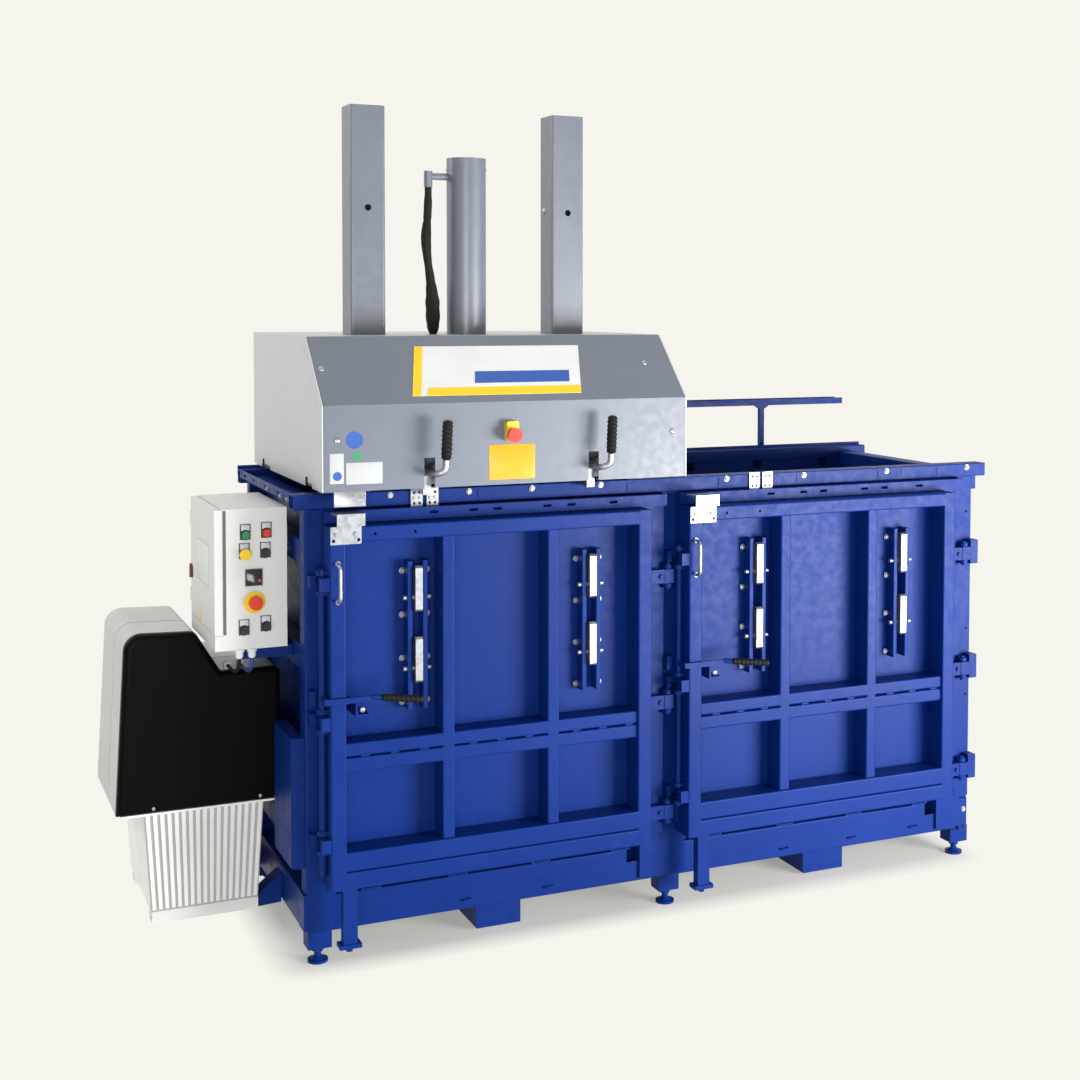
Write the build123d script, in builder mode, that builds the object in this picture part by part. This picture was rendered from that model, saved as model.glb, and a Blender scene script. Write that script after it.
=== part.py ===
from build123d import *
from math import pi, sqrt, tan
import os

os.makedirs("parts", exist_ok=True)

# Driving dimensions of the frame in mm: X to the right along the front, Y to the rear, Z up.
# The origin lies on the floor under the centre front foot.
pitch = 1100.0
centre_station = -16.0
left_station = centre_station - pitch
right_station = centre_station + pitch
stations = (left_station, centre_station, right_station)
bays = (left_station, centre_station)
half_post = 30.0
frame_front = -60.0
chamber_back = 690.0
frame_back = 731.0
beam_front = -50.0
beam_bottom = 100.0
beam_top = 203.0
box_top = 215.0
rail_bottom = 1303.0
rail_top = 1346.0
rail_left = -1175.0
rail_right = 1168.0
floor_top = 244.0
sheet = 6.0
tube_wall = 4.0
edge_round = 5.0
small_round = 3.0
foot_places = (-1100.0, 0.0, 1100.0)
foot_rows = (0.0, 662.0)

# Doors, measured from the left station of their chamber
door_skin = (-75.0, -67.0)
door_spans = ((17.0, 992.0), (992.2, 1072.0))
door_bottom = 250.0
door_top = 1300.0
beam_face = -163.0
beam_head = 1264.0
hinge_levels = (1050.0, 663.0, 322.0)
lock_rise = 57.0
lock_levels = tuple(level + lock_rise for level in hinge_levels)
pin_offset = -22.0
pin_depth = -92.0
pin_radius = 8.0
running_gap = 0.5
lug_thickness = 12.0
lug_gap = 2.0
eye_half = 16.0
eye_half_height = 21.0
rod_offset = 5.0
rod_depth = -116.0
rod_radius = 10.0
claw_offsets = (280.0, 815.0)
claw_levels = (1045.0, 842.0)
claw_depth = -104.0
claw_shaft = 7.0

# Sliding press head
head_left = -1111.0
head_right = 6.0
head_front = -128.0
head_bottom = 1357.5
head_kink = 1597.0
head_top = 1783.5
head_crest = 66.0
head_back = 784.0
panel = 4.0
cover_sheet = 3.0
glide_clearance = 0.3
chamber_middle = -566.0
column_x = -549.0
column_y = 304.0
post_pair = (-875.5, -229.5)
guide_half = 53.5
guide_top = 2472.0
guide_clearance = 2.0
cylinder_radius = 61.0
bore_radius = 50.0
lever_places = (-804.0, -300.0)
lever_pivot = (-95.0, 1400.0)

# Cabinet and power pack
cabinet_x = (-1344.0, -1163.0)
cabinet_y = (80.0, 470.0)
cabinet_z = (898.0, 1298.0)
cabinet_wall = 2.5
cabinet_door_face = -1366.0
control_radius = 11.0
control_gap = 0.6
control_hole = control_radius + control_gap
green_place = (-1280.0, 1224.0)
red_place = (-1221.0, 1227.0)
yellow_place = (-1283.0, 1170.0)
selector_place = (-1224.0, 1170.0)
display_place = (-1257.0, 1102.0)
estop_place = (-1256.0, 1031.0)
black_places = ((-1285.0, 953.0), (-1224.0, 960.0))
hood_front = 225.0
cap_back = 258.0
hood_back = 685.0
hood_bottom = 415.0
hood_low_top = 806.0
gland_places = (-1298.0, -1262.0)
gland_y = 88.0
gland_foot = 886.0
cable_radius = 5.0
cable_height = 10.0


def block(x, y, z, mode=Mode.ADD):
    """Box between the limits x, y and z, each a pair of numbers."""
    with Locations(((x[0] + x[1]) / 2, (y[0] + y[1]) / 2, (z[0] + z[1]) / 2)):
        Box(x[1] - x[0], y[1] - y[0], z[1] - z[0], mode=mode)


def about(middle, half):
    """Limits at the same distance on both sides of a middle."""
    return (middle - half, middle + half)


def moved_by(start, limits):
    """Limits that are measured from a start."""
    return (start + limits[0], start + limits[1])


def across(x):
    """Plane whose sketch axes are Y and Z, growing to +X from x."""
    return Plane(origin=(x, 0, 0), x_dir=(0, 1, 0), z_dir=(1, 0, 0))


def facing(y):
    """Plane whose sketch axes are X and Z, growing to the front from y."""
    return Plane(origin=(0, y, 0), x_dir=(1, 0, 0), z_dir=(0, -1, 0))


def level(z):
    """Plane whose sketch axes are X and Y, growing upwards from z."""
    return Plane(origin=(0, 0, z), x_dir=(1, 0, 0), z_dir=(0, 0, 1))


def rounded_bar(x, y, z, axis, radius=edge_round):
    """Bar with rounded long edges that runs along the named axis."""
    plane, first, second, length = {
        "x": (across(x[0]), y, z, x[1] - x[0]),
        "y": (facing(y[1]), x, z, y[1] - y[0]),
        "z": (level(z[0]), x, y, z[1] - z[0]),
    }[axis]
    with BuildSketch(plane) as section:
        with Locations(((first[0] + first[1]) / 2, (second[0] + second[1]) / 2)):
            RectangleRounded(first[1] - first[0], second[1] - second[0], radius)
    extrude(section.sketch, amount=length)


def rounded_tube(x, y, z, axis, radius=edge_round, wall=tube_wall):
    """Rectangular tube with rounded edges, open at both ends of the named axis."""
    rounded_bar(x, y, z, axis, radius)
    inner = []
    for name, limits in zip("xyz", (x, y, z)):
        margin = 0 if name == axis else wall
        inner.append((limits[0] + margin, limits[1] - margin))
    block(*inner, mode=Mode.SUBTRACT)


def round_bar(start, end, radius, mode=Mode.ADD):
    """Round bar between two points."""
    way = Vector(*end) - Vector(*start)
    with BuildSketch(Plane(origin=start, z_dir=way)) as section:
        Circle(radius)
    extrude(section.sketch, amount=way.length, mode=mode)


def upright(x, y, z, radius, mode=Mode.ADD):
    """Round bar that stands at x and y between the limits z."""
    round_bar((x, y, z[0]), (x, y, z[1]), radius, mode)


def prism(points, plane, depth, mode=Mode.ADD):
    """Closed outline carried from the plane along its normal."""
    with BuildSketch(plane) as outline:
        with BuildLine():
            Polyline(*points, close=True)
        make_face()
    extrude(outline.sketch, amount=depth, mode=mode)


def bent_tube(points, bends, radius):
    """Round tube along straight runs joined by arcs; bends is one radius or one for each corner."""
    with BuildLine() as route:
        FilletPolyline(*points, radius=bends)
    with BuildSketch(Plane(origin=points[0], z_dir=route.line % 0)) as section:
        Circle(radius)
    sweep(section.sketch, path=route.line)


def cord_bends(points, name):
    """Bend radius at each corner of a cord: 0.45 of the shorter run over the tangent of half the turn."""
    corners = [Vector(*point) for point in points]
    radii = []
    for before, corner, after in zip(corners, corners[1:], corners[2:]):
        arriving = corner - before
        leaving = after - corner
        half_turn = arriving.get_angle(leaving) / 2
        shorter = min(arriving.length, leaving.length)
        radii.append(0.45 * shorter / tan(half_turn * pi / 180))
    print(name, "bend radii in mm:", [round(radius) for radius in radii])
    return radii


def post_width(station):
    """X limits of the post at a station."""
    return about(station, half_post)


def bay_width(station):
    """X limits between the post at a station and the next post."""
    return (station + half_post, station + pitch - half_post)


# Front and rear posts, rectangular tubes
post_rear = (chamber_back + sheet, frame_back)
with BuildPart() as frame_posts:
    for station in stations:
        rounded_tube(post_width(station), (frame_front, 0), (box_top, rail_bottom), "z")
        rounded_tube(post_width(station), post_rear, (beam_top, rail_bottom), "z", small_round)
frame_posts.part.label = "frame_posts"
export_step(frame_posts.part, "parts/frame_posts.step")

# Front top rail with its marking slits and the tab under its right end
slit_places = (-1010.0, -640.0, -163.0, 149.0, 430.0, 737.0, 829.0, 968.0)
slit_half = 3.0
slit_depth = 2.0
slit_z = (rail_top - 32, rail_top - 8)
tab_x = (rail_right - 54, rail_right - 18)
tab_y = (-32.0, -26.0)
tab_drop = 47.0
tab_seam = 0.2
with BuildPart() as front_rail:
    rounded_tube((rail_left, rail_right), (frame_front, 0), (rail_bottom, rail_top), "x", small_round)
    for place in slit_places:
        block(about(place, slit_half), (frame_front, frame_front + slit_depth), slit_z, Mode.SUBTRACT)
    block(tab_x, tab_y, (rail_bottom - tab_drop, rail_bottom - tab_seam))
front_rail.part.label = "front_rail"
export_step(front_rail.part, "parts/front_rail.step")

# Rear top rail with its guide lip, the two end members and the hose tray, one welded piece.
# The left end member carries a trough with an upright skirt.
lip_thickness = 5.0
lip_z = (rail_top - 20, head_bottom - 1)
end_sheet = 4.0
end_skirt = 24.0
skirt_slots = (120.0, 290.0, 460.0, 600.0)
slot_length = 34.0
slot_z = (rail_top - 17, rail_top - 9)
tray_x = (-60.0, 1134.0)
tray_y = (800.0, 860.0)
tray_z = (1499.0, 1522.0)
tray_sheet = 3.0
tray_post_places = (180.0, 791.0)
tray_post_half = 9.0
tray_post_y = (815.0, 833.0)
tray_bracket_z = (1306.0, 1338.0)
gusset_reach = 30.0
gusset_height = 14.0
with BuildPart() as rear_rail:
    rail_y = (chamber_back, frame_back)
    rounded_tube((rail_left, rail_right), rail_y, (rail_bottom, rail_top), "x", small_round)
    block((rail_left, rail_right), (frame_back, frame_back + lip_thickness), lip_z)
    trough_z = (rail_top - end_skirt, rail_top - end_skirt + end_sheet)
    for station in (left_station, right_station):
        rounded_tube(post_width(station), (0, chamber_back), (rail_bottom, trough_z[1]), "y", small_round)
    block((rail_left, left_station), (0, chamber_back), trough_z)
    block((rail_left, rail_left + end_sheet), (0, chamber_back), (trough_z[0], rail_top))
    for start in skirt_slots:
        slot_x = (rail_left - 1, rail_left + end_sheet + 1)
        block(slot_x, (start, start + slot_length), slot_z, Mode.SUBTRACT)
    block(tray_x, tray_y, tray_z)
    tray_inside = (tray_y[0] + tray_sheet, tray_y[1] - tray_sheet)
    block(tray_x, tray_inside, (tray_z[0] + tray_sheet, tray_z[1]), Mode.SUBTRACT)
    for middle in tray_post_places:
        foot_x = about(middle, tray_post_half)
        block(foot_x, tray_post_y, (tray_bracket_z[0], tray_z[0]))
        block(foot_x, (frame_back, tray_post_y[0]), tray_bracket_z)
        gusset = (
            (middle - gusset_reach, tray_z[0]),
            (foot_x[0], tray_z[0] - gusset_height),
            (foot_x[1], tray_z[0] - gusset_height),
            (middle + gusset_reach, tray_z[0]),
        )
        prism(gusset, facing(tray_post_y[1]), tray_post_y[1] - tray_post_y[0])
rear_rail.part.label = "rear_rail"
export_step(rear_rail.part, "parts/rear_rail.step")

# Front base beam with its end boxes, notches and the bolted plate at its right end
box_bottom = 112.0
box_inner = 55.0
box_outer = 37.0
box_reach = 99.0
box_end = 7.0
notch_width = 40.0
notch_back = -20.0
end_plate_x = (right_station - box_end, right_station + 25)
end_plate_z = (95.0, 205.0)
end_plate_thickness = 10.0
box_spans = (
    (left_station - box_outer, left_station + box_inner),
    (centre_station - box_reach, centre_station + box_inner),
    (right_station - box_reach, right_station - box_end),
)
with BuildPart() as base_front_beam:
    beam_x = (left_station, right_station + half_post)
    rounded_tube(beam_x, (beam_front, 0), (beam_bottom, beam_top), "x")
    for span in box_spans:
        block(span, (frame_front, 0), (box_bottom, box_top))
    plate_back = frame_front + end_plate_thickness
    block((right_station - box_end, beam_x[1]), (plate_back, 0), (beam_top - 8, box_top))
    block(end_plate_x, (frame_front, plate_back), end_plate_z)
    notch_z = (beam_top - notch_width, beam_top)
    for station in stations[1:]:
        notch = (station - box_reach - notch_width, station - box_reach)
        block(notch, (beam_front, beam_front + tube_wall), notch_z, Mode.SUBTRACT)
        block(notch, (beam_front, notch_back), (beam_top - tube_wall, beam_top), Mode.SUBTRACT)
base_front_beam.part.label = "base_front_beam"
export_step(base_front_beam.part, "parts/base_front_beam.step")

# Base frame: side beams, rear beam, cross beam, joists, chamber floors and foot blocks
rear_beam = (671.0, frame_back)
cross_beam = (300.0, 360.0)
floor_sheet = 8.0
joist_depth = 33.0
joist_half = 30.0
joist_count = 4
foot_block_half = (34.0, 30.0)
foot_block_bottom = 45.0
with BuildPart() as base_frame:
    for station in stations:
        rounded_tube(post_width(station), (0, rear_beam[0]), (beam_bottom, beam_top), "y")
    whole_width = (left_station - half_post, right_station + half_post)
    rounded_tube(whole_width, rear_beam, (beam_bottom, beam_top), "x")
    for station in bays:
        inside = bay_width(station)
        rounded_tube(inside, cross_beam, (beam_bottom, beam_top), "x")
        block(inside, (frame_front, chamber_back), (floor_top - floor_sheet, floor_top))
        block(inside, (frame_front, frame_front + sheet), (box_top, floor_top - floor_sheet))
        for step in range(joist_count):
            middle = inside[0] + (step + 0.5) * (inside[1] - inside[0]) / joist_count
            joist_top = beam_top + joist_depth
            block(about(middle, joist_half), (beam_front, chamber_back), (beam_top, joist_top))
            hollow = about(middle, joist_half - tube_wall)
            block(hollow, (beam_front, chamber_back), (beam_top + tube_wall, joist_top), Mode.SUBTRACT)
    for row in foot_rows:
        for place in foot_places:
            foot_y = about(row, foot_block_half[1])
            block(about(place, foot_block_half[0]), foot_y, (foot_block_bottom, beam_bottom))
base_frame.part.label = "base_frame"
export_step(base_frame.part, "parts/base_frame.step")

# Fork runners under the base, closed at the front and open at the rear
runner_spans = ((-617.0, -476.0), (514.0, 665.0))
runner_front = 20.0
runner_bottom = 6.0
runner_wall = 5.0
with BuildPart() as fork_runners:
    for span in runner_spans:
        rounded_bar(span, (runner_front, frame_back), (runner_bottom, beam_bottom), "y", small_round)
        block(
            (span[0] + runner_wall, span[1] - runner_wall),
            (runner_front + runner_wall, frame_back),
            (runner_bottom + runner_wall, beam_bottom - runner_wall),
            Mode.SUBTRACT,
        )
fork_runners.part.label = "fork_runners"
export_step(fork_runners.part, "parts/fork_runners.step")

# Side walls with outer ribs; the left one carries a smooth folded panel, the cabinet bracket
# and the tapered arms of the power pack
rib_levels = (330.0, 560.0, 880.0, 1180.0)
rib_half = 35.0
rib_wall = 5.0
wall_face = left_station - half_post
folded_z = (290.0, 660.0)
folded_wall = 4.0
folded_panel = ((wall_face, -50), (-1170, -50), (-1182, -38), (-1182, 178), (wall_face, 178))
folded_hollow = ((wall_face, -46), (-1168, -46), (-1178, -36), (-1178, 174), (wall_face, 174))
bracket_left = -1300.0
bracket_rows = ((100.0, 106.0), (294.0, 300.0))
bracket_z = (866.0, 892.0)
arm_rows = (262.0, 610.0)
arm_width = 60.0
arm_side = ((wall_face, 90), (wall_face, 178), (-1217, 120), (-1217, 86))
with BuildPart() as side_walls:
    for station, side in ((left_station, -1), (right_station, 1)):
        inner = station - side * half_post
        sheet_face = inner + side * sheet
        outer = station + side * half_post
        block(sorted((inner, sheet_face)), (0, chamber_back), (beam_top, rail_bottom))
        for rib in rib_levels:
            rib_x = sorted((sheet_face, outer))
            rounded_bar(rib_x, (0, chamber_back), about(rib, rib_half), "y", small_round)
            hollow = sorted((sheet_face, outer - side * rib_wall))
            block(hollow, (0, chamber_back), about(rib, rib_half - rib_wall), Mode.SUBTRACT)
    prism(folded_panel, level(folded_z[0]), folded_z[1] - folded_z[0])
    hollow_depth = folded_z[1] - folded_z[0] - 2 * folded_wall
    prism(folded_hollow, level(folded_z[0] + folded_wall), hollow_depth, Mode.SUBTRACT)
    for row in bracket_rows:
        block((bracket_left, wall_face), row, bracket_z)
    block((bracket_left, wall_face), (bracket_rows[0][0], bracket_rows[1][1]), (bracket_z[1], cabinet_z[0]))
    for row in arm_rows:
        prism(arm_side, facing(row + arm_width), arm_width)
side_walls.part.label = "side_walls"
export_step(side_walls.part, "parts/side_walls.step")

# Partition between the chambers: two skins over upright webs
web_count = 4
partition_skin = 5.0
partition_z = (beam_top, rail_top - 6)
with BuildPart() as partition_wall:
    block(post_width(centre_station), (0, chamber_back), partition_z)
    room = (chamber_back - (web_count + 1) * partition_skin) / web_count
    for web in range(web_count):
        start = partition_skin + web * (room + partition_skin)
        pocket = about(centre_station, half_post - partition_skin)
        block(pocket, (start, start + room), (beam_top, partition_z[1] - sheet), Mode.SUBTRACT)
partition_wall.part.label = "partition_wall"
export_step(partition_wall.part, "parts/partition_wall.step")

# Rear wall: one sheet with folded ribs between the rear posts and strapping slots under the rail
rear_ribs = (300.0, 520.0, 740.0, 960.0, 1180.0)
rear_rib_half = 30.0
rear_rib_wall = 4.0
strap_first = 166.0
strap_step = 276.0
strap_count = 4
strap_half = 17.0
strap_z = (1275.0, rail_bottom)
strap_box_bottom = 1250.0
with BuildPart() as rear_wall:
    block(whole_width, (chamber_back, post_rear[0]), (beam_top, rail_bottom))
    for station in bays:
        inside = bay_width(station)
        hollow_y = (post_rear[0], frame_back - rear_rib_wall)
        for rib in rear_ribs:
            block(inside, post_rear, about(rib, rear_rib_half))
            block(inside, hollow_y, about(rib, rear_rib_half - rear_rib_wall), Mode.SUBTRACT)
        block(inside, post_rear, (strap_box_bottom, rail_bottom))
        block(inside, hollow_y, (strap_box_bottom + rear_rib_wall, rail_bottom), Mode.SUBTRACT)
        for strap in range(strap_count):
            middle = station + strap_first + strap * strap_step
            block(about(middle, strap_half), (chamber_back, post_rear[0]), strap_z, Mode.SUBTRACT)
rear_wall.part.label = "rear_wall"
export_step(rear_wall.part, "parts/rear_wall.step")

# Six levelling feet: pad, neck, stem and hexagon nut
pad_radius = 29.0
pad_height = 8.0
neck_radii = (22.0, 12.0)
stem_radius = 10.0
nut_radius = 17.0
nut_bottom = 31.0
on_floor = (Align.CENTER, Align.CENTER, Align.MIN)
with BuildPart() as levelling_feet:
    for row in foot_rows:
        for place in foot_places:
            with Locations((place, row, 0)):
                Cylinder(pad_radius, pad_height, align=on_floor)
            with Locations((place, row, pad_height)):
                Cone(*neck_radii, pad_height, align=on_floor)
            upright(place, row, (2 * pad_height, foot_block_bottom), stem_radius)
            with BuildSketch(level(nut_bottom)) as nut:
                with Locations((place, row)):
                    RegularPolygon(nut_radius, 6)
            extrude(nut.sketch, amount=foot_block_bottom - nut_bottom)
levelling_feet.part.label = "levelling_feet"
export_step(levelling_feet.part, "parts/levelling_feet.step")

# Perforated seat plates on the front rail, where the head locks over a chamber
seat_places = (-800.0, 300.0)
seat_half = 41.0
seat_slot_half = 6.0
seat_depth = (frame_front - 6, frame_front)
seat_z = (1297.0, 1350.0)
seat_hole_places = (-31.0, -15.0, 15.0, 31.0)
seat_hole_rows = (1308.0, 1338.0)
seat_hole = 4.0
with BuildPart() as seat_plates:
    for middle in seat_places:
        block(about(middle, seat_half), seat_depth, seat_z)
        block(about(middle, seat_slot_half), seat_depth, seat_z, Mode.SUBTRACT)
        for offset_x in seat_hole_places:
            for z in seat_hole_rows:
                start = (middle + offset_x, seat_depth[0], z)
                round_bar(start, (middle + offset_x, seat_depth[1], z), seat_hole, Mode.SUBTRACT)
seat_plates.part.label = "seat_plates"
export_step(seat_plates.part, "parts/seat_plates.step")

# Hinge lugs with pins and side plates, lock keepers and head plate on the posts
lug_low = eye_half_height + lug_gap
lug_high = lug_low + lug_thickness
nose = 14.0
pin_reach = (6.0, 5.0)
side_plate_start = 24.0
side_plate_limits = {centre_station: 15.0, right_station: 31.0}
side_plate_depth = -98.0
side_plate_rise = (-37.0, 42.0)
keeper_x = (-24.0, -8.0)
keeper_depth = -94.0
keeper_rise = (-16.0, 17.0)
lever_keeper_z = (757.0, 800.0)
head_plate_x = (-12.0, 56.0)
head_plate_z = (1243.0, rail_bottom)
with BuildPart() as post_fittings:
    for station in stations[1:]:
        pin_x = station + pin_offset
        for hinge in hinge_levels:
            for low in (hinge + lug_low, hinge - lug_high):
                block(about(pin_x, nose), (pin_depth, frame_front), (low, low + lug_thickness))
                upright(pin_x, pin_depth, (low, low + lug_thickness), nose)
            pin_z = (hinge - lug_high - pin_reach[0], hinge + lug_high + pin_reach[1])
            upright(pin_x, pin_depth, pin_z, pin_radius)
            side_plate_x = (pin_x + side_plate_start, station + side_plate_limits[station])
            block(side_plate_x, (side_plate_depth, frame_front), moved_by(hinge, side_plate_rise))
    for station in bays:
        for lock in lock_levels:
            block(moved_by(station, keeper_x), (keeper_depth, frame_front), moved_by(lock, keeper_rise))
        block(moved_by(station, keeper_x), (keeper_depth, frame_front), lever_keeper_z)
    block(moved_by(left_station, head_plate_x), (frame_front - 6, frame_front), head_plate_z)
post_fittings.part.label = "post_fittings"
export_step(post_fittings.part, "parts/post_fittings.step")

# Control cabinet box, open at its left side where the door closes it
control_places = (green_place, red_place, yellow_place, selector_place, estop_place, *black_places)
fixed_strip_top = 941.0
gland_radius = 8.0
spacer_y = (150.0, 250.0)
spacer_z = (1160.0, 1240.0)
with BuildPart() as cabinet_box:
    block(cabinet_x, cabinet_y, cabinet_z)
    block(
        (cabinet_x[0], cabinet_x[1] - cabinet_wall),
        (cabinet_y[0] + cabinet_wall, cabinet_y[1] - cabinet_wall),
        (cabinet_z[0] + cabinet_wall, cabinet_z[1] - cabinet_wall),
        Mode.SUBTRACT,
    )
    block((cabinet_door_face + running_gap, cabinet_x[0]), cabinet_y, (cabinet_z[0], fixed_strip_top))
    for x, z in control_places:
        round_bar((x, cabinet_y[0], z), (x, cabinet_y[0] + 4, z), control_hole, Mode.SUBTRACT)
    for x in gland_places:
        upright(x, gland_y, (gland_foot, cabinet_z[0]), gland_radius)
    block((cabinet_x[1], wall_face), spacer_y, spacer_z)
cabinet_box.part.label = "cabinet_box"
export_step(cabinet_box.part, "parts/cabinet_box.step")

# Cabinet door on the left side, with the fixed plate of the main switch and two hinge knuckles
switch_y = 440.0
switch_z = 1075.0
switch_plate_half = 26.0
switch_plate = 2.0
door_fold = 3.0
cabinet_door_y = (cabinet_y[0], cabinet_y[1] - 2)
cabinet_door_z = (942.0, 1296.0)
knuckle_levels = (1000.0, 1230.0)
knuckle_half = 20.0
knuckle_radius = 6.0
knuckle_y = cabinet_y[1] + 6
with BuildPart() as cabinet_door:
    door_x = (cabinet_door_face, cabinet_x[0] - running_gap)
    rounded_bar(door_x, cabinet_door_y, cabinet_door_z, "y", 2)
    block(
        (cabinet_door_face + door_fold, door_x[1]),
        (cabinet_door_y[0] + door_fold, cabinet_door_y[1] - door_fold),
        (cabinet_door_z[0] + door_fold, cabinet_door_z[1] - door_fold),
        Mode.SUBTRACT,
    )
    plate_x = (cabinet_door_face - switch_plate, cabinet_door_face)
    block(plate_x, about(switch_y, switch_plate_half), about(switch_z, switch_plate_half))
    for z in knuckle_levels:
        upright(cabinet_door_face + panel, knuckle_y, about(z, knuckle_half), knuckle_radius)
        leaf_y = (cabinet_y[1] - 6, cabinet_y[1] + 4)
        block((cabinet_door_face, cabinet_door_face + 5), leaf_y, about(z, knuckle_half))
cabinet_door.part.label = "cabinet_door"
export_step(cabinet_door.part, "parts/cabinet_door.step")

# Rotary main switch on the cabinet door: low disc with a grip bar
switch_face = cabinet_door_face - switch_plate - running_gap
switch_disc = (21.0, 3.0)
switch_grip_half = (6.0, 20.0)
switch_grip_depth = 4.0
with BuildPart() as main_switch:
    disc_face = switch_face - switch_disc[1]
    round_bar((switch_face, switch_y, switch_z), (disc_face, switch_y, switch_z), switch_disc[0])
    grip_y = about(switch_y, switch_grip_half[0])
    block((disc_face - switch_grip_depth, disc_face), grip_y, about(switch_z, switch_grip_half[1]))
main_switch.part.label = "main_switch"
export_step(main_switch.part, "parts/main_switch.step")

# Label holders, bezels and the display on the cabinet front
bezel_radius = 15.0
bezel_depth = 4.0
holder_half = 15.0
holder_rise = (-14.0, 31.0)
holder_depth = 1.5
display_half = 24.0
display_depth = 5.0
with BuildPart() as control_faces:
    for x, z in control_places:
        bezel_front = (x, cabinet_y[0] - bezel_depth, z)
        round_bar(bezel_front, (x, cabinet_y[0], z), bezel_radius)
        if (x, z) != estop_place:
            holder_y = (cabinet_y[0] - holder_depth, cabinet_y[0])
            block(about(x, holder_half), holder_y, moved_by(z, holder_rise))
        round_bar(bezel_front, (x, cabinet_y[0], z), control_hole, Mode.SUBTRACT)
    display_x = about(display_place[0], display_half)
    display_z = about(display_place[1], display_half)
    block(display_x, (cabinet_y[0] - display_depth, cabinet_y[0]), display_z)
control_faces.part.label = "control_faces"
export_step(control_faces.part, "parts/control_faces.step")

stem_end = cabinet_y[0] + 12


def push_button(place, front, head_radius, head_depth):
    """Stem through the cabinet front with a head of the given radius."""
    x, z = place
    round_bar((x, front, z), (x, stem_end, z), control_radius)
    if head_radius > control_radius:
        round_bar((x, front, z), (x, front + head_depth, z), head_radius)


# Buttons: front face, head radius and head depth of each
mushroom_radius = 19.0
button_styles = (
    ("green_button", green_place, 69.0, control_radius, 8.0),
    ("red_button", red_place, 69.0, control_radius, 8.0),
    ("yellow_button", yellow_place, 60.0, 16.0, 7.0),
    ("black_button_left", black_places[0], 68.0, control_radius, 8.0),
    ("black_button_right", black_places[1], 68.0, control_radius, 8.0),
    ("cabinet_estop", estop_place, 50.0, mushroom_radius, 12.0),
)
for label, place, front, head_radius, head_depth in button_styles:
    with BuildPart() as button:
        push_button(place, front, head_radius, head_depth)
    button.part.label = label
    export_step(button.part, f"parts/{label}.step")

# Selector with its grip bar
selector_front = 72.0
selector_bar = (3.5, 10.0)
with BuildPart() as selector:
    x, z = selector_place
    push_button(selector_place, selector_front, control_radius, 0)
    block(about(x, selector_bar[0]), (selector_front - 10, selector_front), about(z, selector_bar[1]))
selector.part.label = "selector"
export_step(selector.part, "parts/selector.step")

# Control cables from the glands to the blocks on top of the power pack
cable_block_front = 262.0
cable_level = hood_low_top + cable_height
with BuildPart() as control_cables:
    for x in gland_places:
        cable_points = (
            (x, gland_y, gland_foot),
            (x, gland_y, 846),
            (x, 130, 822),
            (x, 200, cable_level),
            (x, cable_block_front, cable_level),
        )
        bent_tube(cable_points, cord_bends(cable_points, "control cable"), cable_radius)
control_cables.part.label = "control_cables"
export_step(control_cables.part, "parts/control_cables.step")

# Power pack hood outline: tall at the left, lowered under the cabinet
hood_outline = (
    (-1618, hood_bottom),
    (-1590, 935),
    (-1395, 928),
    (-1322, hood_low_top),
    (-1151, hood_low_top),
    (-1152, hood_bottom),
)
hood_rounds = (50.0, 25.0, 12.0, 20.0)


def hood_section(y, inset=0.0):
    """Hood outline at the depth y, its upper corners rounded, drawn in by the inset."""
    with BuildSketch(facing(y)) as section:
        with BuildLine():
            Polyline(*hood_outline, close=True)
        make_face()
        for corner, radius in zip(hood_outline[1:], hood_rounds):
            fillet(section.vertices().sort_by_distance((*corner, 0))[:1], radius)
        if inset > 0:
            offset(amount=-inset)
    return section.sketch


# Black cap of the hood with its rounded front edge and two screw notches
cap_depth = cap_back - hood_front
cap_edge = 18.0
cap_wall = (10.0, 12.0)
notch_places = (-1515.0, -1211.0)
notch_half = 9.0
notch_top = 436.0
with BuildPart() as power_pack_hood:
    extrude(hood_section(cap_back), amount=cap_depth)
    fillet(power_pack_hood.faces().sort_by(Axis.Y)[0].edges(), cap_edge)
    extrude(hood_section(cap_back, cap_wall[0]), amount=cap_depth - cap_wall[1], mode=Mode.SUBTRACT)
    for x in notch_places:
        block(about(x, notch_half), (hood_front, hood_front + 10), (hood_bottom, notch_top), Mode.SUBTRACT)
power_pack_hood.part.label = "power_pack_hood"
export_step(power_pack_hood.part, "parts/power_pack_hood.step")

# Silver shell behind the black cap with a groove half way along and two cable blocks on top
shell_wall = 8.0
shell_back_wall = 10.0
groove_y = (430.0, 438.0)
groove_depth = 3.0
cable_block_half = 9.0
cable_block_length = 20.0
with BuildPart() as power_pack_shell:
    extrude(hood_section(hood_back), amount=hood_back - cap_back)
    extrude(hood_section(groove_y[1]), amount=groove_y[1] - groove_y[0], mode=Mode.SUBTRACT)
    extrude(hood_section(groove_y[1], groove_depth), amount=groove_y[1] - groove_y[0])
    inner_back = hood_back - shell_back_wall
    extrude(hood_section(inner_back, shell_wall), amount=inner_back - cap_back, mode=Mode.SUBTRACT)
    mouth_x = (hood_outline[0][0] + 18, hood_outline[-1][0] - shell_wall)
    block(mouth_x, (cap_back, inner_back), (hood_bottom, hood_bottom + shell_wall), Mode.SUBTRACT)
    for x in gland_places:
        block_y = (cable_block_front, cable_block_front + cable_block_length)
        block(about(x, cable_block_half), block_y, (hood_low_top, hood_low_top + 2 * cable_height))
power_pack_shell.part.label = "power_pack_shell"
export_step(power_pack_shell.part, "parts/power_pack_shell.step")

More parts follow.
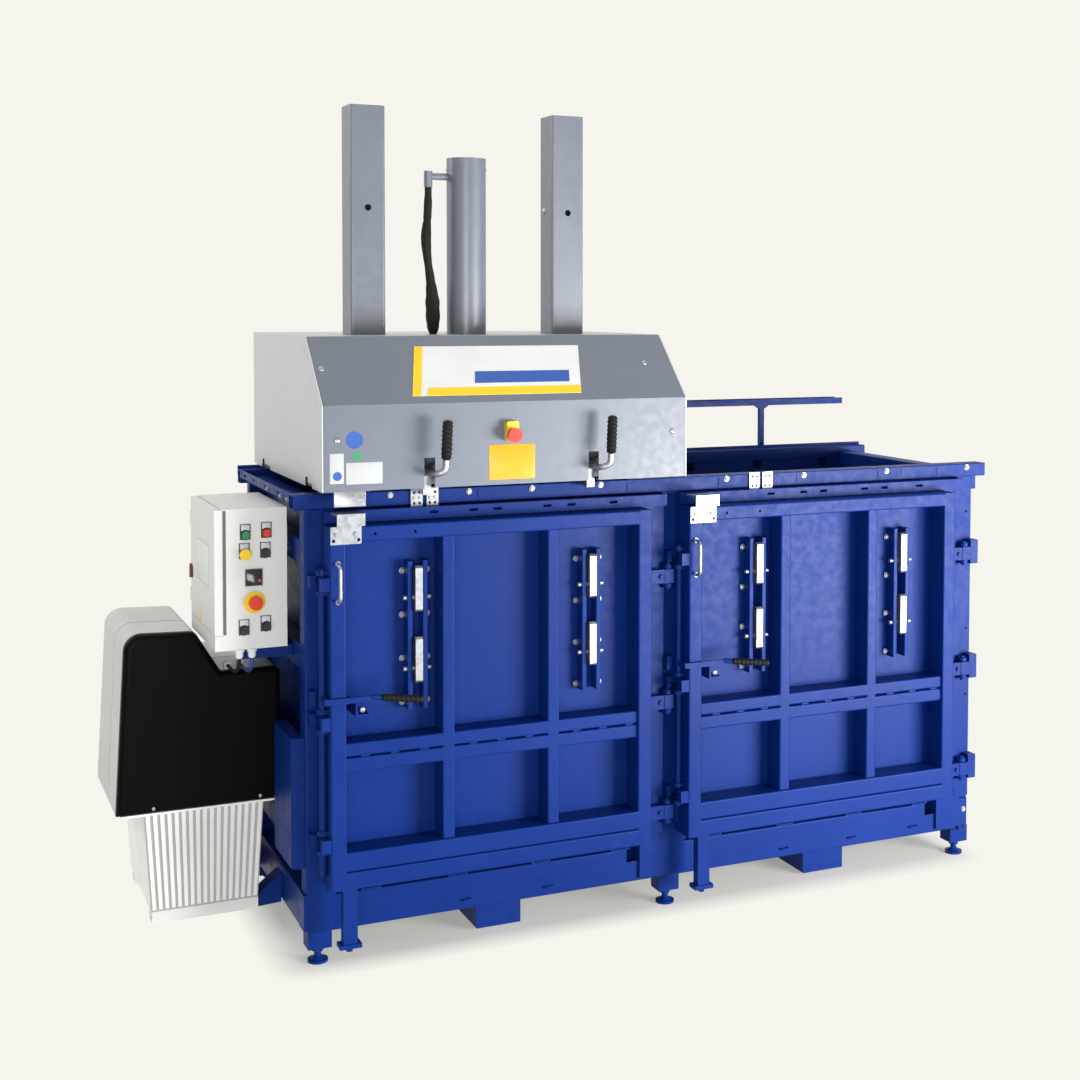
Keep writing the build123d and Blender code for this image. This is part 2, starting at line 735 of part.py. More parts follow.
# Oil tank with upright ribs on its front, lid and channels below
tank_top = (-1540.0, -1198.0)
tank_foot = (-1522.0, -1217.0)
tank_z = (120.0, 409.0)
tank_y = (256.0, 690.0)
tank_wall = 6.0
tank_rib_count = 17
tank_rib = (5.0, 5.5)
tank_rib_depth = 6.0
lid_x = (-1606.0, -1160.0)
lid_y = (232.0, 682.0)
lid_hole = ((-1480.0, -1340.0), (380.0, 520.0))
channel_rows = ((252.0, 312.0), (610.0, 670.0))
channel_bottom = 86.0
with BuildPart() as oil_tank:
    tank_side = (
        (tank_foot[0], tank_z[0]),
        (tank_foot[1], tank_z[0]),
        (tank_top[1], tank_z[1]),
        (tank_top[0], tank_z[1]),
    )
    prism(tank_side, facing(tank_y[1]), tank_y[1] - tank_y[0])
    inset = ((tank_wall, tank_wall), (-tank_wall, tank_wall), (-tank_wall, 0), (tank_wall, 0))
    tank_inside = [(corner[0] + move[0], corner[1] + move[1]) for corner, move in zip(tank_side, inset)]
    prism(tank_inside, facing(tank_y[1] - tank_wall), tank_y[1] - tank_y[0] - 2 * tank_wall, Mode.SUBTRACT)
    with BuildSketch(facing(tank_y[0])) as ribs:
        for rib in range(tank_rib_count):
            share = (rib + 0.5) / tank_rib_count
            foot = tank_foot[0] + share * (tank_foot[1] - tank_foot[0])
            head = tank_top[0] + share * (tank_top[1] - tank_top[0])
            rib_z = (tank_z[0] + tank_wall, tank_z[1] - tank_wall)
            foot_ends = about(foot, tank_rib[0])
            head_ends = about(head, tank_rib[1])
            with BuildLine():
                Polyline(
                    (foot_ends[0], rib_z[0]),
                    (foot_ends[1], rib_z[0]),
                    (head_ends[1], rib_z[1]),
                    (head_ends[0], rib_z[1]),
                    close=True,
                )
            make_face()
    extrude(ribs.sketch, amount=tank_rib_depth)
    block(lid_x, lid_y, (tank_z[1], hood_bottom))
    block(*lid_hole, (tank_z[1], hood_bottom), Mode.SUBTRACT)
    for row in channel_rows:
        channel_x = (tank_foot[0] + 2, tank_foot[1])
        block(channel_x, row, (channel_bottom, tank_z[0]))
        hollow_z = (channel_bottom + tube_wall, tank_z[0] - tube_wall)
        block(channel_x, (row[0] + tube_wall, row[1] - tube_wall), hollow_z, Mode.SUBTRACT)
oil_tank.part.label = "oil_tank"
export_step(oil_tank.part, "parts/oil_tank.step")

# Pump motor inside the hood, standing on the tank lid with the valve block beside it
motor_place = (-1420.0, 450.0)
flange = (125.0, 20.0)
motor_radius = 95.0
motor_top = 740.0
fan_cover = (80.0, 790.0)
fin_count = 16
fin_size = (14.0, 5.0)
fin_ring = 98.0
fin_z = (470.0, 690.0)
motor_plate = ((-1560.0, -1190.0), (330.0, 570.0), (hood_bottom, hood_bottom + 6))
valve_block = ((-1280.0, -1200.0), (380.0, 480.0), (hood_bottom, 520.0))
with BuildPart() as pump_motor:
    flange_top = hood_bottom + flange[1]
    upright(*motor_place, (hood_bottom, flange_top), flange[0])
    upright(*motor_place, (flange_top, motor_top), motor_radius)
    with BuildSketch(level(fin_z[0])) as fins:
        with Locations(motor_place):
            with PolarLocations(fin_ring, fin_count):
                Rectangle(*fin_size)
    extrude(fins.sketch, amount=fin_z[1] - fin_z[0])
    upright(*motor_place, (motor_top, fan_cover[1]), fan_cover[0])
    block(*motor_plate)
    block(*valve_block)
pump_motor.part.label = "pump_motor"
export_step(pump_motor.part, "parts/pump_motor.step")

# Folded front cover of the head with the two lever slots
slope = (head_top - head_kink) / (head_crest - head_front)
slope_drop = cover_sheet * sqrt(1 + slope * slope)
cover_gap = 1.5
cover_lip = 16.0
cover_x = (head_left + panel + cover_gap, head_right - panel - cover_gap)
inner_front = head_front + cover_sheet
inner_kink = head_kink + cover_sheet * slope - slope_drop
lever_slot_half = 16.0
lever_slot_top = 1443.0
with BuildPart() as head_cover:
    cover_outline = (
        (head_front, head_bottom),
        (head_front, head_kink),
        (head_crest, head_top),
        (head_crest, head_top - slope_drop),
        (inner_front, inner_kink),
        (inner_front, head_bottom + cover_sheet),
        (inner_front + cover_lip, head_bottom + cover_sheet),
        (inner_front + cover_lip, head_bottom),
    )
    prism(cover_outline, across(cover_x[0]), cover_x[1] - cover_x[0])
    for place in lever_places:
        slot_y = (head_front, inner_front + cover_lip)
        block(about(place, lever_slot_half), slot_y, (head_bottom, lever_slot_top), Mode.SUBTRACT)
head_cover.part.label = "head_cover"
export_step(head_cover.part, "parts/head_cover.step")

# Housing: two side panels with rail notches, top plate with openings and back panel
rail_notches = ((-11.0, 74.0), (545.0, 665.0))
rail_notch_height = 12.0
post_opening = guide_half + 5
hose_hole = (-657.0, 17.0)
with BuildPart() as head_housing:
    side = (
        (head_front, head_bottom),
        (head_front, head_kink),
        (head_crest, head_top),
        (head_back, head_top),
        (head_back, head_bottom),
    )
    for x in (head_left, head_right - panel):
        prism(side, across(x), panel)
        for notch in rail_notches:
            block((x, x + panel), notch, (head_bottom, head_bottom + rail_notch_height), Mode.SUBTRACT)
    roof = (head_top - panel, head_top)
    block((head_left, head_right), (head_crest, head_back), roof)
    block((head_left, head_right), (head_back - panel, head_back), (head_bottom, head_top))
    for x in post_pair:
        block(about(x, post_opening), about(column_y, post_opening), roof, Mode.SUBTRACT)
    upright(column_x, column_y, roof, cylinder_radius + 4, Mode.SUBTRACT)
    upright(hose_hole[0], column_y, roof, hose_hole[1], Mode.SUBTRACT)
head_housing.part.label = "head_housing"
export_step(head_housing.part, "parts/head_housing.step")

# Carriage frame: ring over the rails, glide shoes, bridge for the cylinder and the guide posts
ring_z = (1360.0, 1440.0)
ring_wall = 6.0
bridge_z = (1640.0, 1700.0)
bridge_half = (75.0, 70.0)
front_bar = (-56.0, 0.0)
rear_bar = (692.0, 745.0)
left_bar = (head_left + panel, -1077.0)
right_bar = (-55.0, head_right - panel)
shoe_spans = ((-1095.0, -955.0), (-155.0, -15.0))
shoe_rows = ((-52.0, -8.0), (695.0, 722.0))
cover_brackets = (-1020.0, -680.0, -430.0, -90.0)
cover_bracket_half = 20.0
cover_bracket_z = (1405.0, 1440.0)
cheek_offsets = (-24.0, 16.0)
cheek = 8.0
cheek_reach = 14.0
cheek_rise = (-16.0, 20.0)
lever_hub_hole = 6.5
hanger_x = (-1078.0, -989.0)
hanger_bottom = 1315.0
hanger_strap = (1351.5, head_bottom)
with BuildPart() as carriage_frame:
    ring_x = (left_bar[0], right_bar[1])
    for bar in (front_bar, rear_bar):
        block(ring_x, bar, ring_z)
        hollow_y = (bar[0] + ring_wall, bar[1] - ring_wall)
        block(ring_x, hollow_y, (ring_z[0] + ring_wall, ring_z[1] - ring_wall), Mode.SUBTRACT)
    for bar in (left_bar, right_bar):
        block(bar, (front_bar[0], rear_bar[1]), ring_z)
        block(bar, about(column_y, bridge_half[1]), (ring_z[1], bridge_z[1]))
    for span in shoe_spans:
        for row in shoe_rows:
            block(span, row, (rail_top + glide_clearance, ring_z[0]))
    block(ring_x, about(column_y, bridge_half[0]), bridge_z)
    hole = guide_half + guide_clearance
    for x in post_pair:
        block(about(x, hole), about(column_y, hole), bridge_z, Mode.SUBTRACT)
    upright(column_x, column_y, bridge_z, cylinder_radius + 1, Mode.SUBTRACT)
    for place in cover_brackets:
        block(about(place, cover_bracket_half), (inner_front, front_bar[0]), cover_bracket_z)
    for place in lever_places:
        for start in (place + cheek_offsets[0], place + cheek_offsets[1]):
            cheek_y = (lever_pivot[0] - cheek_reach, front_bar[0])
            block((start, start + cheek), cheek_y, moved_by(lever_pivot[1], cheek_rise))
            round_bar((start, *lever_pivot), (start + cheek, *lever_pivot), lever_hub_hole, Mode.SUBTRACT)
    block(hanger_x, (head_front, head_front + cheek), (hanger_bottom, head_bottom))
    block(hanger_x, (head_front + cheek, front_bar[0] + 16), hanger_strap)
    block(hanger_x, (front_bar[0], front_bar[0] + 16), (hanger_strap[1], ring_z[0]))
carriage_frame.part.label = "carriage_frame"
export_step(carriage_frame.part, "parts/carriage_frame.step")

# Press cylinder: barrel, collar, flange, cap and port fitting
cylinder_foot = 1480.0
cylinder_top = 2328.0
collar_z = (2290.0, 2297.0)
flange_height = 20.0
flange_rim = 24.0
gland_height = 40.0
cap_height = 16.0
rod_hole = 36.0
port_z = 2270.0
port_x = -672.0
port_span = (2236.0, 2286.0)
port_radii = (11.0, 13.0)
with BuildPart() as press_cylinder:
    upright(column_x, column_y, (cylinder_foot, cylinder_top), cylinder_radius)
    upright(column_x, column_y, collar_z, cylinder_radius + 1.5)
    upright(column_x, column_y, (bridge_z[1], bridge_z[1] + flange_height), cylinder_radius + flange_rim)
    bore_z = (cylinder_foot + gland_height, cylinder_top - cap_height)
    upright(column_x, column_y, bore_z, bore_radius, Mode.SUBTRACT)
    upright(column_x, column_y, (cylinder_foot, bore_z[0]), rod_hole, Mode.SUBTRACT)
    port_inner = column_x - bore_radius - 1
    round_bar((port_x, column_y, port_z), (port_inner, column_y, port_z), port_radii[0])
    upright(port_x, column_y, port_span, port_radii[1])
press_cylinder.part.label = "press_cylinder"
export_step(press_cylinder.part, "parts/press_cylinder.step")

# Ram hose from the port fitting down into the head
hose_radius = 11.0
hose_points = (
    (port_x, column_y, port_span[0]),
    (port_x, column_y, 2170),
    (-682, column_y, 2060),
    (hose_hole[0], column_y, 1900),
    (hose_hole[0], column_y, 1760),
)
with BuildPart() as ram_hose:
    bent_tube(hose_points, cord_bends(hose_points, "ram hose"), hose_radius)
ram_hose.part.label = "ram_hose"
export_step(ram_hose.part, "parts/ram_hose.step")

# Emergency stop on the head: yellow box and red mushroom
stop_x = -562.0
stop_z = 1502.0
stop_half = 18.0
stop_box_z = (1484.0, 1541.0)
stop_front = head_front - 24.0
stop_stem = 12.0
stop_head = (20.0, 8.0)
stop_radius = 21.0
with BuildPart() as head_estop_box:
    rounded_bar(about(stop_x, stop_half), (stop_front, head_front), stop_box_z, "y", 6)
    hole_end = (stop_x, stop_front + stop_stem + 10, stop_z)
    round_bar((stop_x, stop_front, stop_z), hole_end, control_hole, Mode.SUBTRACT)
head_estop_box.part.label = "head_estop_box"
export_step(head_estop_box.part, "parts/head_estop_box.step")

with BuildPart() as head_estop:
    neck = (stop_x, stop_front - stop_head[1], stop_z)
    round_bar((stop_x, stop_front - stop_head[0], stop_z), neck, stop_radius)
    round_bar(neck, (stop_x, stop_front + stop_stem, stop_z), control_radius)
head_estop.part.label = "head_estop"
export_step(head_estop.part, "parts/head_estop.step")

# Ram: two hollow guide posts, ribbed press plate and piston rod
press_half = 505.0
press_y = (8.0, 680.0)
press_z = (1365.0, 1425.0)
press_sheet = 12.0
press_ribs = (20.0, 170.0, 330.0, 490.0, 640.0)
press_rib = 28.0
press_boss = (70.0, 80.0)
post_wall = 6.0
post_round = 8.0
guide_cap = 5.0
locking_hole = (2166.0, 10.0)
with BuildPart() as guide_posts:
    for x in post_pair:
        guide_z = (press_z[1], guide_top)
        rounded_bar(about(x, guide_half), about(column_y, guide_half), guide_z, "z", post_round)
        inner = guide_half - post_wall
        hollow_z = (press_z[1], guide_top - guide_cap)
        block(about(x, inner), about(column_y, inner), hollow_z, Mode.SUBTRACT)
        hole_start = (x, column_y - guide_half, locking_hole[0])
        hole_end = (x, column_y - inner, locking_hole[0])
        round_bar(hole_start, hole_end, locking_hole[1], Mode.SUBTRACT)
guide_posts.part.label = "guide_posts"
export_step(guide_posts.part, "parts/guide_posts.step")

with BuildPart() as press_plate:
    press_x = about(chamber_middle, press_half)
    rib_z = (press_z[0] + press_sheet, press_z[1])
    block(press_x, press_y, (press_z[0], rib_z[0]))
    for y in press_ribs:
        block(press_x, (y, y + press_rib), rib_z)
    for x in (*post_pair, column_x):
        block(about(x, press_boss[0]), about(column_y, press_boss[1]), rib_z)
press_plate.part.label = "press_plate"
export_step(press_plate.part, "parts/press_plate.step")

rod_thickness = 35.0
piston_z = (2230.0, 2280.0)
with BuildPart() as piston_rod:
    upright(column_x, column_y, (press_z[1], piston_z[0]), rod_thickness)
    upright(column_x, column_y, piston_z, bore_radius - running_gap)
piston_rod.part.label = "piston_rod"
export_step(piston_rod.part, "parts/piston_rod.step")

# Carriage lock levers: hub, tongue and bent tube, each with its own rubber grip
hub = (15.0, 14.0)
axle = (24.0, 6.0)
tongue_half = 12.0
tongue_y = (-9.0, 3.0)
tongue_foot_y = (3.0, 20.0)
tongue_bottom = 1335.0
tongue_foot_top = 1343.0
lever_tube = 9.0
lever_bend = 20.0
lever_front = -186.0
lever_level = 1400.0
grip_foot = (29.0, -189.8, 1440.0)
grip_run = Vector(5.3, 1.3, 113)
grip_neck = 0.26
grip_radius = 15.0
for place, side_name in zip(lever_places, ("left", "right")):
    pivot_y, pivot_z = lever_pivot
    with BuildPart() as head_lever:
        for half, radius in (hub, axle):
            round_bar((place - half, pivot_y, pivot_z), (place + half, pivot_y, pivot_z), radius)
        tongue_x = about(place, tongue_half)
        block(tongue_x, moved_by(pivot_y, tongue_y), (tongue_bottom, pivot_z))
        block(tongue_x, moved_by(pivot_y, tongue_foot_y), (tongue_bottom, tongue_foot_top))
        grip_start = Vector(place + grip_foot[0], grip_foot[1], grip_foot[2])
        elbow = grip_start - grip_run * grip_neck
        tube_points = ((place, pivot_y, lever_level), (place, lever_front, lever_level), elbow, grip_start)
        bent_tube(tube_points, lever_bend, lever_tube)
    label = f"head_lever_{side_name}"
    head_lever.part.label = label
    export_step(head_lever.part, f"parts/{label}.step")
    with BuildPart() as lever_grip:
        round_bar(grip_start, grip_start + grip_run, grip_radius)
    label = f"lever_grip_{side_name}"
    lever_grip.part.label = label
    export_step(lever_grip.part, f"parts/{label}.step")

# Door panel of the left chamber: skin, folded frame and stiffeners, and past the hinge-side beam
# a closing strip of its own. Places across the door are measured from its station.
door = left_station
stiffener_face = -153.0
uprights = (
    (17.0, 61.0, beam_face, 250.0),
    (948.0, 992.0, beam_face, 250.0),
    (341.0, 377.0, stiffener_face, 303.0),
    (661.0, 697.0, stiffener_face, 303.0),
)
crossbars = (
    (250.0, 299.0, beam_face),
    (301.0, 355.0, beam_face),
    (578.0, 617.5, stiffener_face),
    (621.5, 659.0, stiffener_face),
    (1221.0, beam_head, beam_face),
)
crossbar_span = (30.0, 980.0)
crossbar_hollow = (50.0, 960.0)
header_front = -98.0
header_z = (1266.0, door_top)
header_sheet = 4.0
header_end = 5.0
header_hole_places = (334.0, 453.0, 526.0, 681.0, 757.0, 893.0)
header_hole_half = 13.0
header_hole_z = (1281.0, 1289.0)
beam_hole_places = (144.0, 259.0)
beam_hole = (1241.5, 4.0)
bridge_bays = (61.0, 377.0, 697.0)
bridge_starts = (45.0, 130.0, 215.0)
bridge_size = (24.0, -90.0)
bridge_levels = (610.0, 630.0)
lug_window = 18.0
lug_window_gap = 3.0
leg_x = (50.0, 90.0)
leg_back = -133.0
leg_z = (98.0, door_bottom + 4)
shoe_x = (39.0, 101.0)
shoe_y = (beam_face - 6, -127.0)
shoe_bottom = 86.0
leg_pin = (70.0, -148.0, (74.0, 88.0), 9.0)
catch_x = (88.0, 127.0)
catch_front = -160.0
catch_z = (733.0, 772.0)
catch_sheet = 6.0
claw_rail_starts = (15.0, -30.0)
claw_rail_width = 15.0
claw_rail_front = -115.0
claw_rail_z = (728.0, 1150.0)
claw_tab = (29.0, 44.0)
claw_tab_levels = (1120.0, 994.0, 869.0, 743.0)
claw_tab_half = 10.0
claw_window_half = 9.0
claw_window_rise = (-4.0, 84.0)
hinge_x = door + pitch + pin_offset
with BuildPart() as door_left:
    for span in door_spans:
        block(moved_by(door, span), door_skin, (door_bottom, door_top))
    for left, right, face, low in uprights:
        rounded_bar((door + left, door + right), (face, door_skin[1]), (low, beam_head), "z")
    for low, high, face in crossbars:
        rounded_bar(moved_by(door, crossbar_span), (face, door_skin[1]), (low, high), "x")
    for left, right, face, low in uprights:
        hollow_x = (door + left + tube_wall, door + right - tube_wall)
        hollow_y = (face + tube_wall, door_skin[0] - tube_wall)
        block(hollow_x, hollow_y, (low, beam_head - tube_wall), Mode.SUBTRACT)
    for low, high, face in crossbars:
        hollow_y = (face + tube_wall, door_skin[0] - tube_wall)
        hollow_z = (low + tube_wall, high - tube_wall)
        block(moved_by(door, crossbar_hollow), hollow_y, hollow_z, Mode.SUBTRACT)
    hollow_y = (header_front + header_sheet, door_skin[0])
    hollow_z = (header_z[0] + header_sheet, header_z[1] - header_sheet)
    for span in door_spans:
        block(moved_by(door, span), (header_front, door_skin[0]), header_z)
        header_inside = (door + span[0] + header_end, door + span[1] - header_end)
        block(header_inside, hollow_y, hollow_z, Mode.SUBTRACT)
    for place in header_hole_places:
        hole_y = (header_front, header_front + header_sheet)
        block(about(door + place, header_hole_half), hole_y, header_hole_z, Mode.SUBTRACT)
    for place in beam_hole_places:
        hole_start = (door + place, beam_face, beam_hole[0])
        hole_end = (door + place, beam_face + tube_wall, beam_hole[0])
        round_bar(hole_start, hole_end, beam_hole[1], Mode.SUBTRACT)
    for bay_start in bridge_bays:
        for start in bridge_starts:
            bridge_x = door + bay_start + start
            bridge_y = (stiffener_face + tube_wall, bridge_size[1])
            block((bridge_x, bridge_x + bridge_size[0]), bridge_y, bridge_levels)
    for hinge in hinge_levels:
        for low in (hinge + lug_low, hinge - lug_high):
            window_z = (low - lug_window_gap, low + lug_thickness + lug_window_gap)
            block((hinge_x - lug_window, hinge_x), door_skin, window_z, Mode.SUBTRACT)
    block(moved_by(door, leg_x), (beam_face, leg_back), leg_z)
    block(moved_by(door, shoe_x), shoe_y, (shoe_bottom, leg_z[0]))
    upright(door + leg_pin[0], leg_pin[1], leg_pin[2], leg_pin[3])
    catch_y = (catch_front, door_skin[0])
    block(moved_by(door, catch_x), catch_y, (catch_z[0], catch_z[0] + catch_sheet))
    block((door + catch_x[0], door + catch_x[0] + catch_sheet), catch_y, catch_z)
    for place in claw_offsets:
        middle = door + place
        for start in claw_rail_starts:
            rail_x = (middle + start, middle + start + claw_rail_width)
            rounded_bar(rail_x, (claw_rail_front, door_skin[0]), claw_rail_z, "z", small_round)
        for side in (-1, 1):
            tab_x = sorted((middle + side * claw_tab[0], middle + side * claw_tab[1]))
            for z in claw_tab_levels:
                block(tab_x, (door_skin[0] - 6, door_skin[0]), about(z, claw_tab_half))
        for claw_z in claw_levels:
            bore_start = (middle + claw_rail_starts[1] - 1, claw_depth, claw_z)
            bore_end = (middle - claw_rail_starts[1] + 1, claw_depth, claw_z)
            round_bar(bore_start, bore_end, claw_shaft + running_gap, Mode.SUBTRACT)
            window_z = moved_by(claw_z, claw_window_rise)
            block(about(middle, claw_window_half), door_skin, window_z, Mode.SUBTRACT)
door_left.part.label = "door_left"
export_step(door_left.part, "parts/door_left.step")

with BuildPart() as door_right:
    add(door_left.part.moved(Location((pitch, 0, 0))))
door_right.part.label = "door_right"
export_step(door_right.part, "parts/door_right.step")

# Fittings on the edges of each door: three hinge arms with eyes round the pins of the posts,
# and the lugs and plates that carry the lock rod
arm_front = -106.0
arm_lap = 6.0
lock_lug_rise = 22.0
lock_lug_radius = 16.0
lock_plate_start = -8.0
lock_plate_back = -140.0
lock_plate_half = 18.0
for station, side_name in zip(bays, ("left", "right")):
    with BuildPart() as door_fittings:
        pin_x = station + pitch + pin_offset
        for hinge in hinge_levels:
            eye_z = about(hinge, eye_half_height)
            arm_x = (station + door_spans[0][1], pin_x - eye_half + arm_lap)
            block(arm_x, (arm_front, door_skin[0]), eye_z)
            block(about(pin_x, eye_half), about(pin_depth, eye_half), eye_z)
            upright(pin_x, pin_depth, eye_z, pin_radius + running_gap, Mode.SUBTRACT)
        rod_x = station + rod_offset
        door_edge = station + door_spans[0][0]
        for lock in lock_levels:
            for low in (lock + lock_lug_rise, lock - lock_lug_rise - lug_thickness):
                lug_z = (low, low + lug_thickness)
                lug_y = about(rod_depth, lock_lug_radius)
                upright(rod_x, rod_depth, lug_z, lock_lug_radius)
                block((rod_x, door_edge), lug_y, lug_z)
                block((door_edge, rod_x + lock_lug_radius), lug_y, lug_z, Mode.SUBTRACT)
                upright(rod_x, rod_depth, lug_z, rod_radius + running_gap, Mode.SUBTRACT)
            plate_x = (station + lock_plate_start, door_edge)
            block(plate_x, (beam_face, lock_plate_back), about(lock, lock_plate_half))
    label = f"door_fittings_{side_name}"
    door_fittings.part.label = label
    export_step(door_fittings.part, f"parts/{label}.step")

# Zinc-plated brackets and the pull handle of each door
bracket_face = (beam_face - 5, beam_face)
upper_bracket_x = (36.0, 115.0)
lower_bracket_x = (18.0, 104.0)
lower_bracket_z = (1217.0, 1266.0)
shelf_z = (1294.0, 1298.0)
bracket_holes = (26.0, 96.0)
bracket_hole = (1228.0, 5.0)
handle_offset = 39.0
handle_ends = (1058.0, 1164.0)
handle_reach = -192.0
handle_slant = 6.0
handle_bend = 12.0
handle_radius = 5.0
handle_rose = (7.0, 2.0)
for station, side_name in zip(bays, ("left", "right")):
    with BuildPart() as door_brackets:
        block(moved_by(station, upper_bracket_x), bracket_face, header_z)
        block(moved_by(station, upper_bracket_x), (beam_face, header_front), shelf_z)
        block(moved_by(station, lower_bracket_x), bracket_face, lower_bracket_z)
        for x in bracket_holes:
            hole_start = (station + x, bracket_face[0], bracket_hole[0])
            hole_end = (station + x, bracket_face[1], bracket_hole[0])
            round_bar(hole_start, hole_end, bracket_hole[1], Mode.SUBTRACT)
        handle_x = station + handle_offset
        rose_face = beam_face - handle_rose[1]
        for z in handle_ends:
            round_bar((handle_x, beam_face, z), (handle_x, rose_face, z), handle_rose[0])
        handle_points = (
            (handle_x, beam_face - 2, handle_ends[0]),
            (handle_x, handle_reach, handle_ends[0] + handle_slant),
            (handle_x, handle_reach, handle_ends[1] - handle_slant),
            (handle_x, beam_face - 2, handle_ends[1]),
        )
        bent_tube(handle_points, handle_bend, handle_radius)
    label = f"door_brackets_{side_name}"
    door_brackets.part.label = label
    export_step(door_brackets.part, f"parts/{label}.step")

# Bale retaining claws: lever body, inward barb and pivot shaft, drawn about the pivot
claw_half = 10.5
barb_half = 5.0
shaft_half = 40.0
lever_outline = ((-25, -32), (-25, 86), (-19, 92), (-6, 92), (2, 70), (2, 58), (2, 4), (6, -30), (-19, -38))
barb_outline = ((0, 4), (0, 58), (30, 50), (54, 20), (54, 10), (8, 4))


def claw_part(middle, height, outline, half):
    """Outline about the claw's pivot, carried half its width to each side."""
    points = [(claw_depth + y, height + z) for y, z in outline]
    prism(points, across(middle - half), 2 * half)


claw_places = [(place, height) for place in claw_offsets for height in claw_levels]
for station, side_name in zip(bays, ("left", "right")):
    for number, (place, height) in enumerate(claw_places, start=1):
        middle = station + place
        with BuildPart() as claw:
            claw_part(middle, height, lever_outline, claw_half)
            claw_part(middle, height, barb_outline, barb_half)
            shaft_start = (middle - shaft_half, claw_depth, height)
            round_bar(shaft_start, (middle + shaft_half, claw_depth, height), claw_shaft)
        label = f"claw_{side_name}_{number}"
        claw.part.label = label
        export_step(claw.part, f"parts/{label}.step")

# Lock rods with flats for the keepers and a hand lever, each with its own grip
rod_feet = (285.0, 340.0)
rod_head = 1146.0
flat_half = 20.0
flat_margin = 1.0
lever_z = (776.0, 792.0)
lever_root_half = 7.0
lever_face = (-174.0, -167.0)
lever_end = 144.0
lock_grip_foot = (156.0, -177.0, 786.0)
lock_grip_run = Vector(111, -38, -8)
lock_neck = (0.2, 8.0)
lock_grip_radius = 10.5
for station, side_name, rod_foot in zip(bays, ("left", "right"), rod_feet):
    rod_x = station + rod_offset
    with BuildPart() as lock:
        upright(rod_x, rod_depth, (rod_foot, rod_head), rod_radius)
        for height in lock_levels:
            flat_x = (rod_x - rod_radius - flat_margin, rod_x)
            flat_y = about(rod_depth, rod_radius + flat_margin)
            block(flat_x, flat_y, about(height, flat_half), Mode.SUBTRACT)
        block(about(rod_x, lever_root_half), (lever_face[0] + 4, rod_depth), lever_z)
        block((rod_x - lever_root_half, station + lever_end), lever_face, lever_z)
        grip_start = Vector(station + lock_grip_foot[0], lock_grip_foot[1], lock_grip_foot[2])
        round_bar(grip_start - lock_grip_run * lock_neck[0], grip_start, lock_neck[1])
    label = f"lock_{side_name}"
    lock.part.label = label
    export_step(lock.part, f"parts/{label}.step")
    with BuildPart() as lock_grip:
        round_bar(grip_start, grip_start + lock_grip_run, lock_grip_radius)
    label = f"lock_grip_{side_name}"
    lock_grip.part.label = label
    export_step(lock_grip.part, f"parts/{label}.step")
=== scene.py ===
"""Looks of the two-chamber waste compactor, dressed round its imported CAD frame."""

import logging
import math
from dataclasses import dataclass
from enum import Enum
from typing import Any, Sequence

import bpy
import numpy as np
from mathutils import Matrix, Vector


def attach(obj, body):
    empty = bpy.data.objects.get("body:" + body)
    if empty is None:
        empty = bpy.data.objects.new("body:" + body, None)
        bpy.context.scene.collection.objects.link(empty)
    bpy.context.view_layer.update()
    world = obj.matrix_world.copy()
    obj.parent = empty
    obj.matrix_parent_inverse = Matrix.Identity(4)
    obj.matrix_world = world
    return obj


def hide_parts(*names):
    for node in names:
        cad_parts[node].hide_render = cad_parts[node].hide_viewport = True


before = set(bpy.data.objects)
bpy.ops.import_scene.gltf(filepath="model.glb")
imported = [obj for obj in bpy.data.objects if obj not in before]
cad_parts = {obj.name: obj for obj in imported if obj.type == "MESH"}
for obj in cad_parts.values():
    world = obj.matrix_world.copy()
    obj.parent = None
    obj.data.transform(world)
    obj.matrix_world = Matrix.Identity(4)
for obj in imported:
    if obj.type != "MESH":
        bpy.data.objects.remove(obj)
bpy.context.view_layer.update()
log = logging.getLogger("compactor")

Point = tuple[float, float, float]
Colour = tuple[float, float, float]
MM = 0.001

PITCH = 1.1
CENTRE_STATION = -0.016
STATIONS = (CENTRE_STATION - PITCH, CENTRE_STATION, CENTRE_STATION + PITCH)
BAYS = STATIONS[:2]
SIDES = ("left", "right")


class Axis(Enum):
    """Direction that a fastener or plate faces."""

    LEFT = (-1.0, 0.0, 0.0)
    FRONT = (0.0, -1.0, 0.0)
    DOWN = (0.0, 0.0, -1.0)


# Shader graph helpers


class Socket:
    """A shader value that takes part in arithmetic."""

    def __init__(self, graph: "Graph", source: Any) -> None:
        """Keeps the graph and the output socket or plain number."""
        self.graph = graph
        self.source = source

    def _math(self, operation: str, *values: Any) -> "Socket":
        """Adds one Math node."""
        return self.graph.node("ShaderNodeMath", {"operation": operation}, dict(enumerate(values)))

    def __add__(self, other: Any) -> "Socket":
        """Sum."""
        return self._math("ADD", self, other)

    __radd__ = __add__

    def __mul__(self, other: Any) -> "Socket":
        """Product."""
        return self._math("MULTIPLY", self, other)

    __rmul__ = __mul__

    def __sub__(self, other: Any) -> "Socket":
        """Difference."""
        return self._math("SUBTRACT", self, other)

    def __rsub__(self, other: Any) -> "Socket":
        """Difference the other way round."""
        return self._math("SUBTRACT", other, self)

    def clamp(self) -> "Socket":
        """Value held between 0 and 1."""
        return self.graph.node("ShaderNodeClamp", {}, {"Value": self})


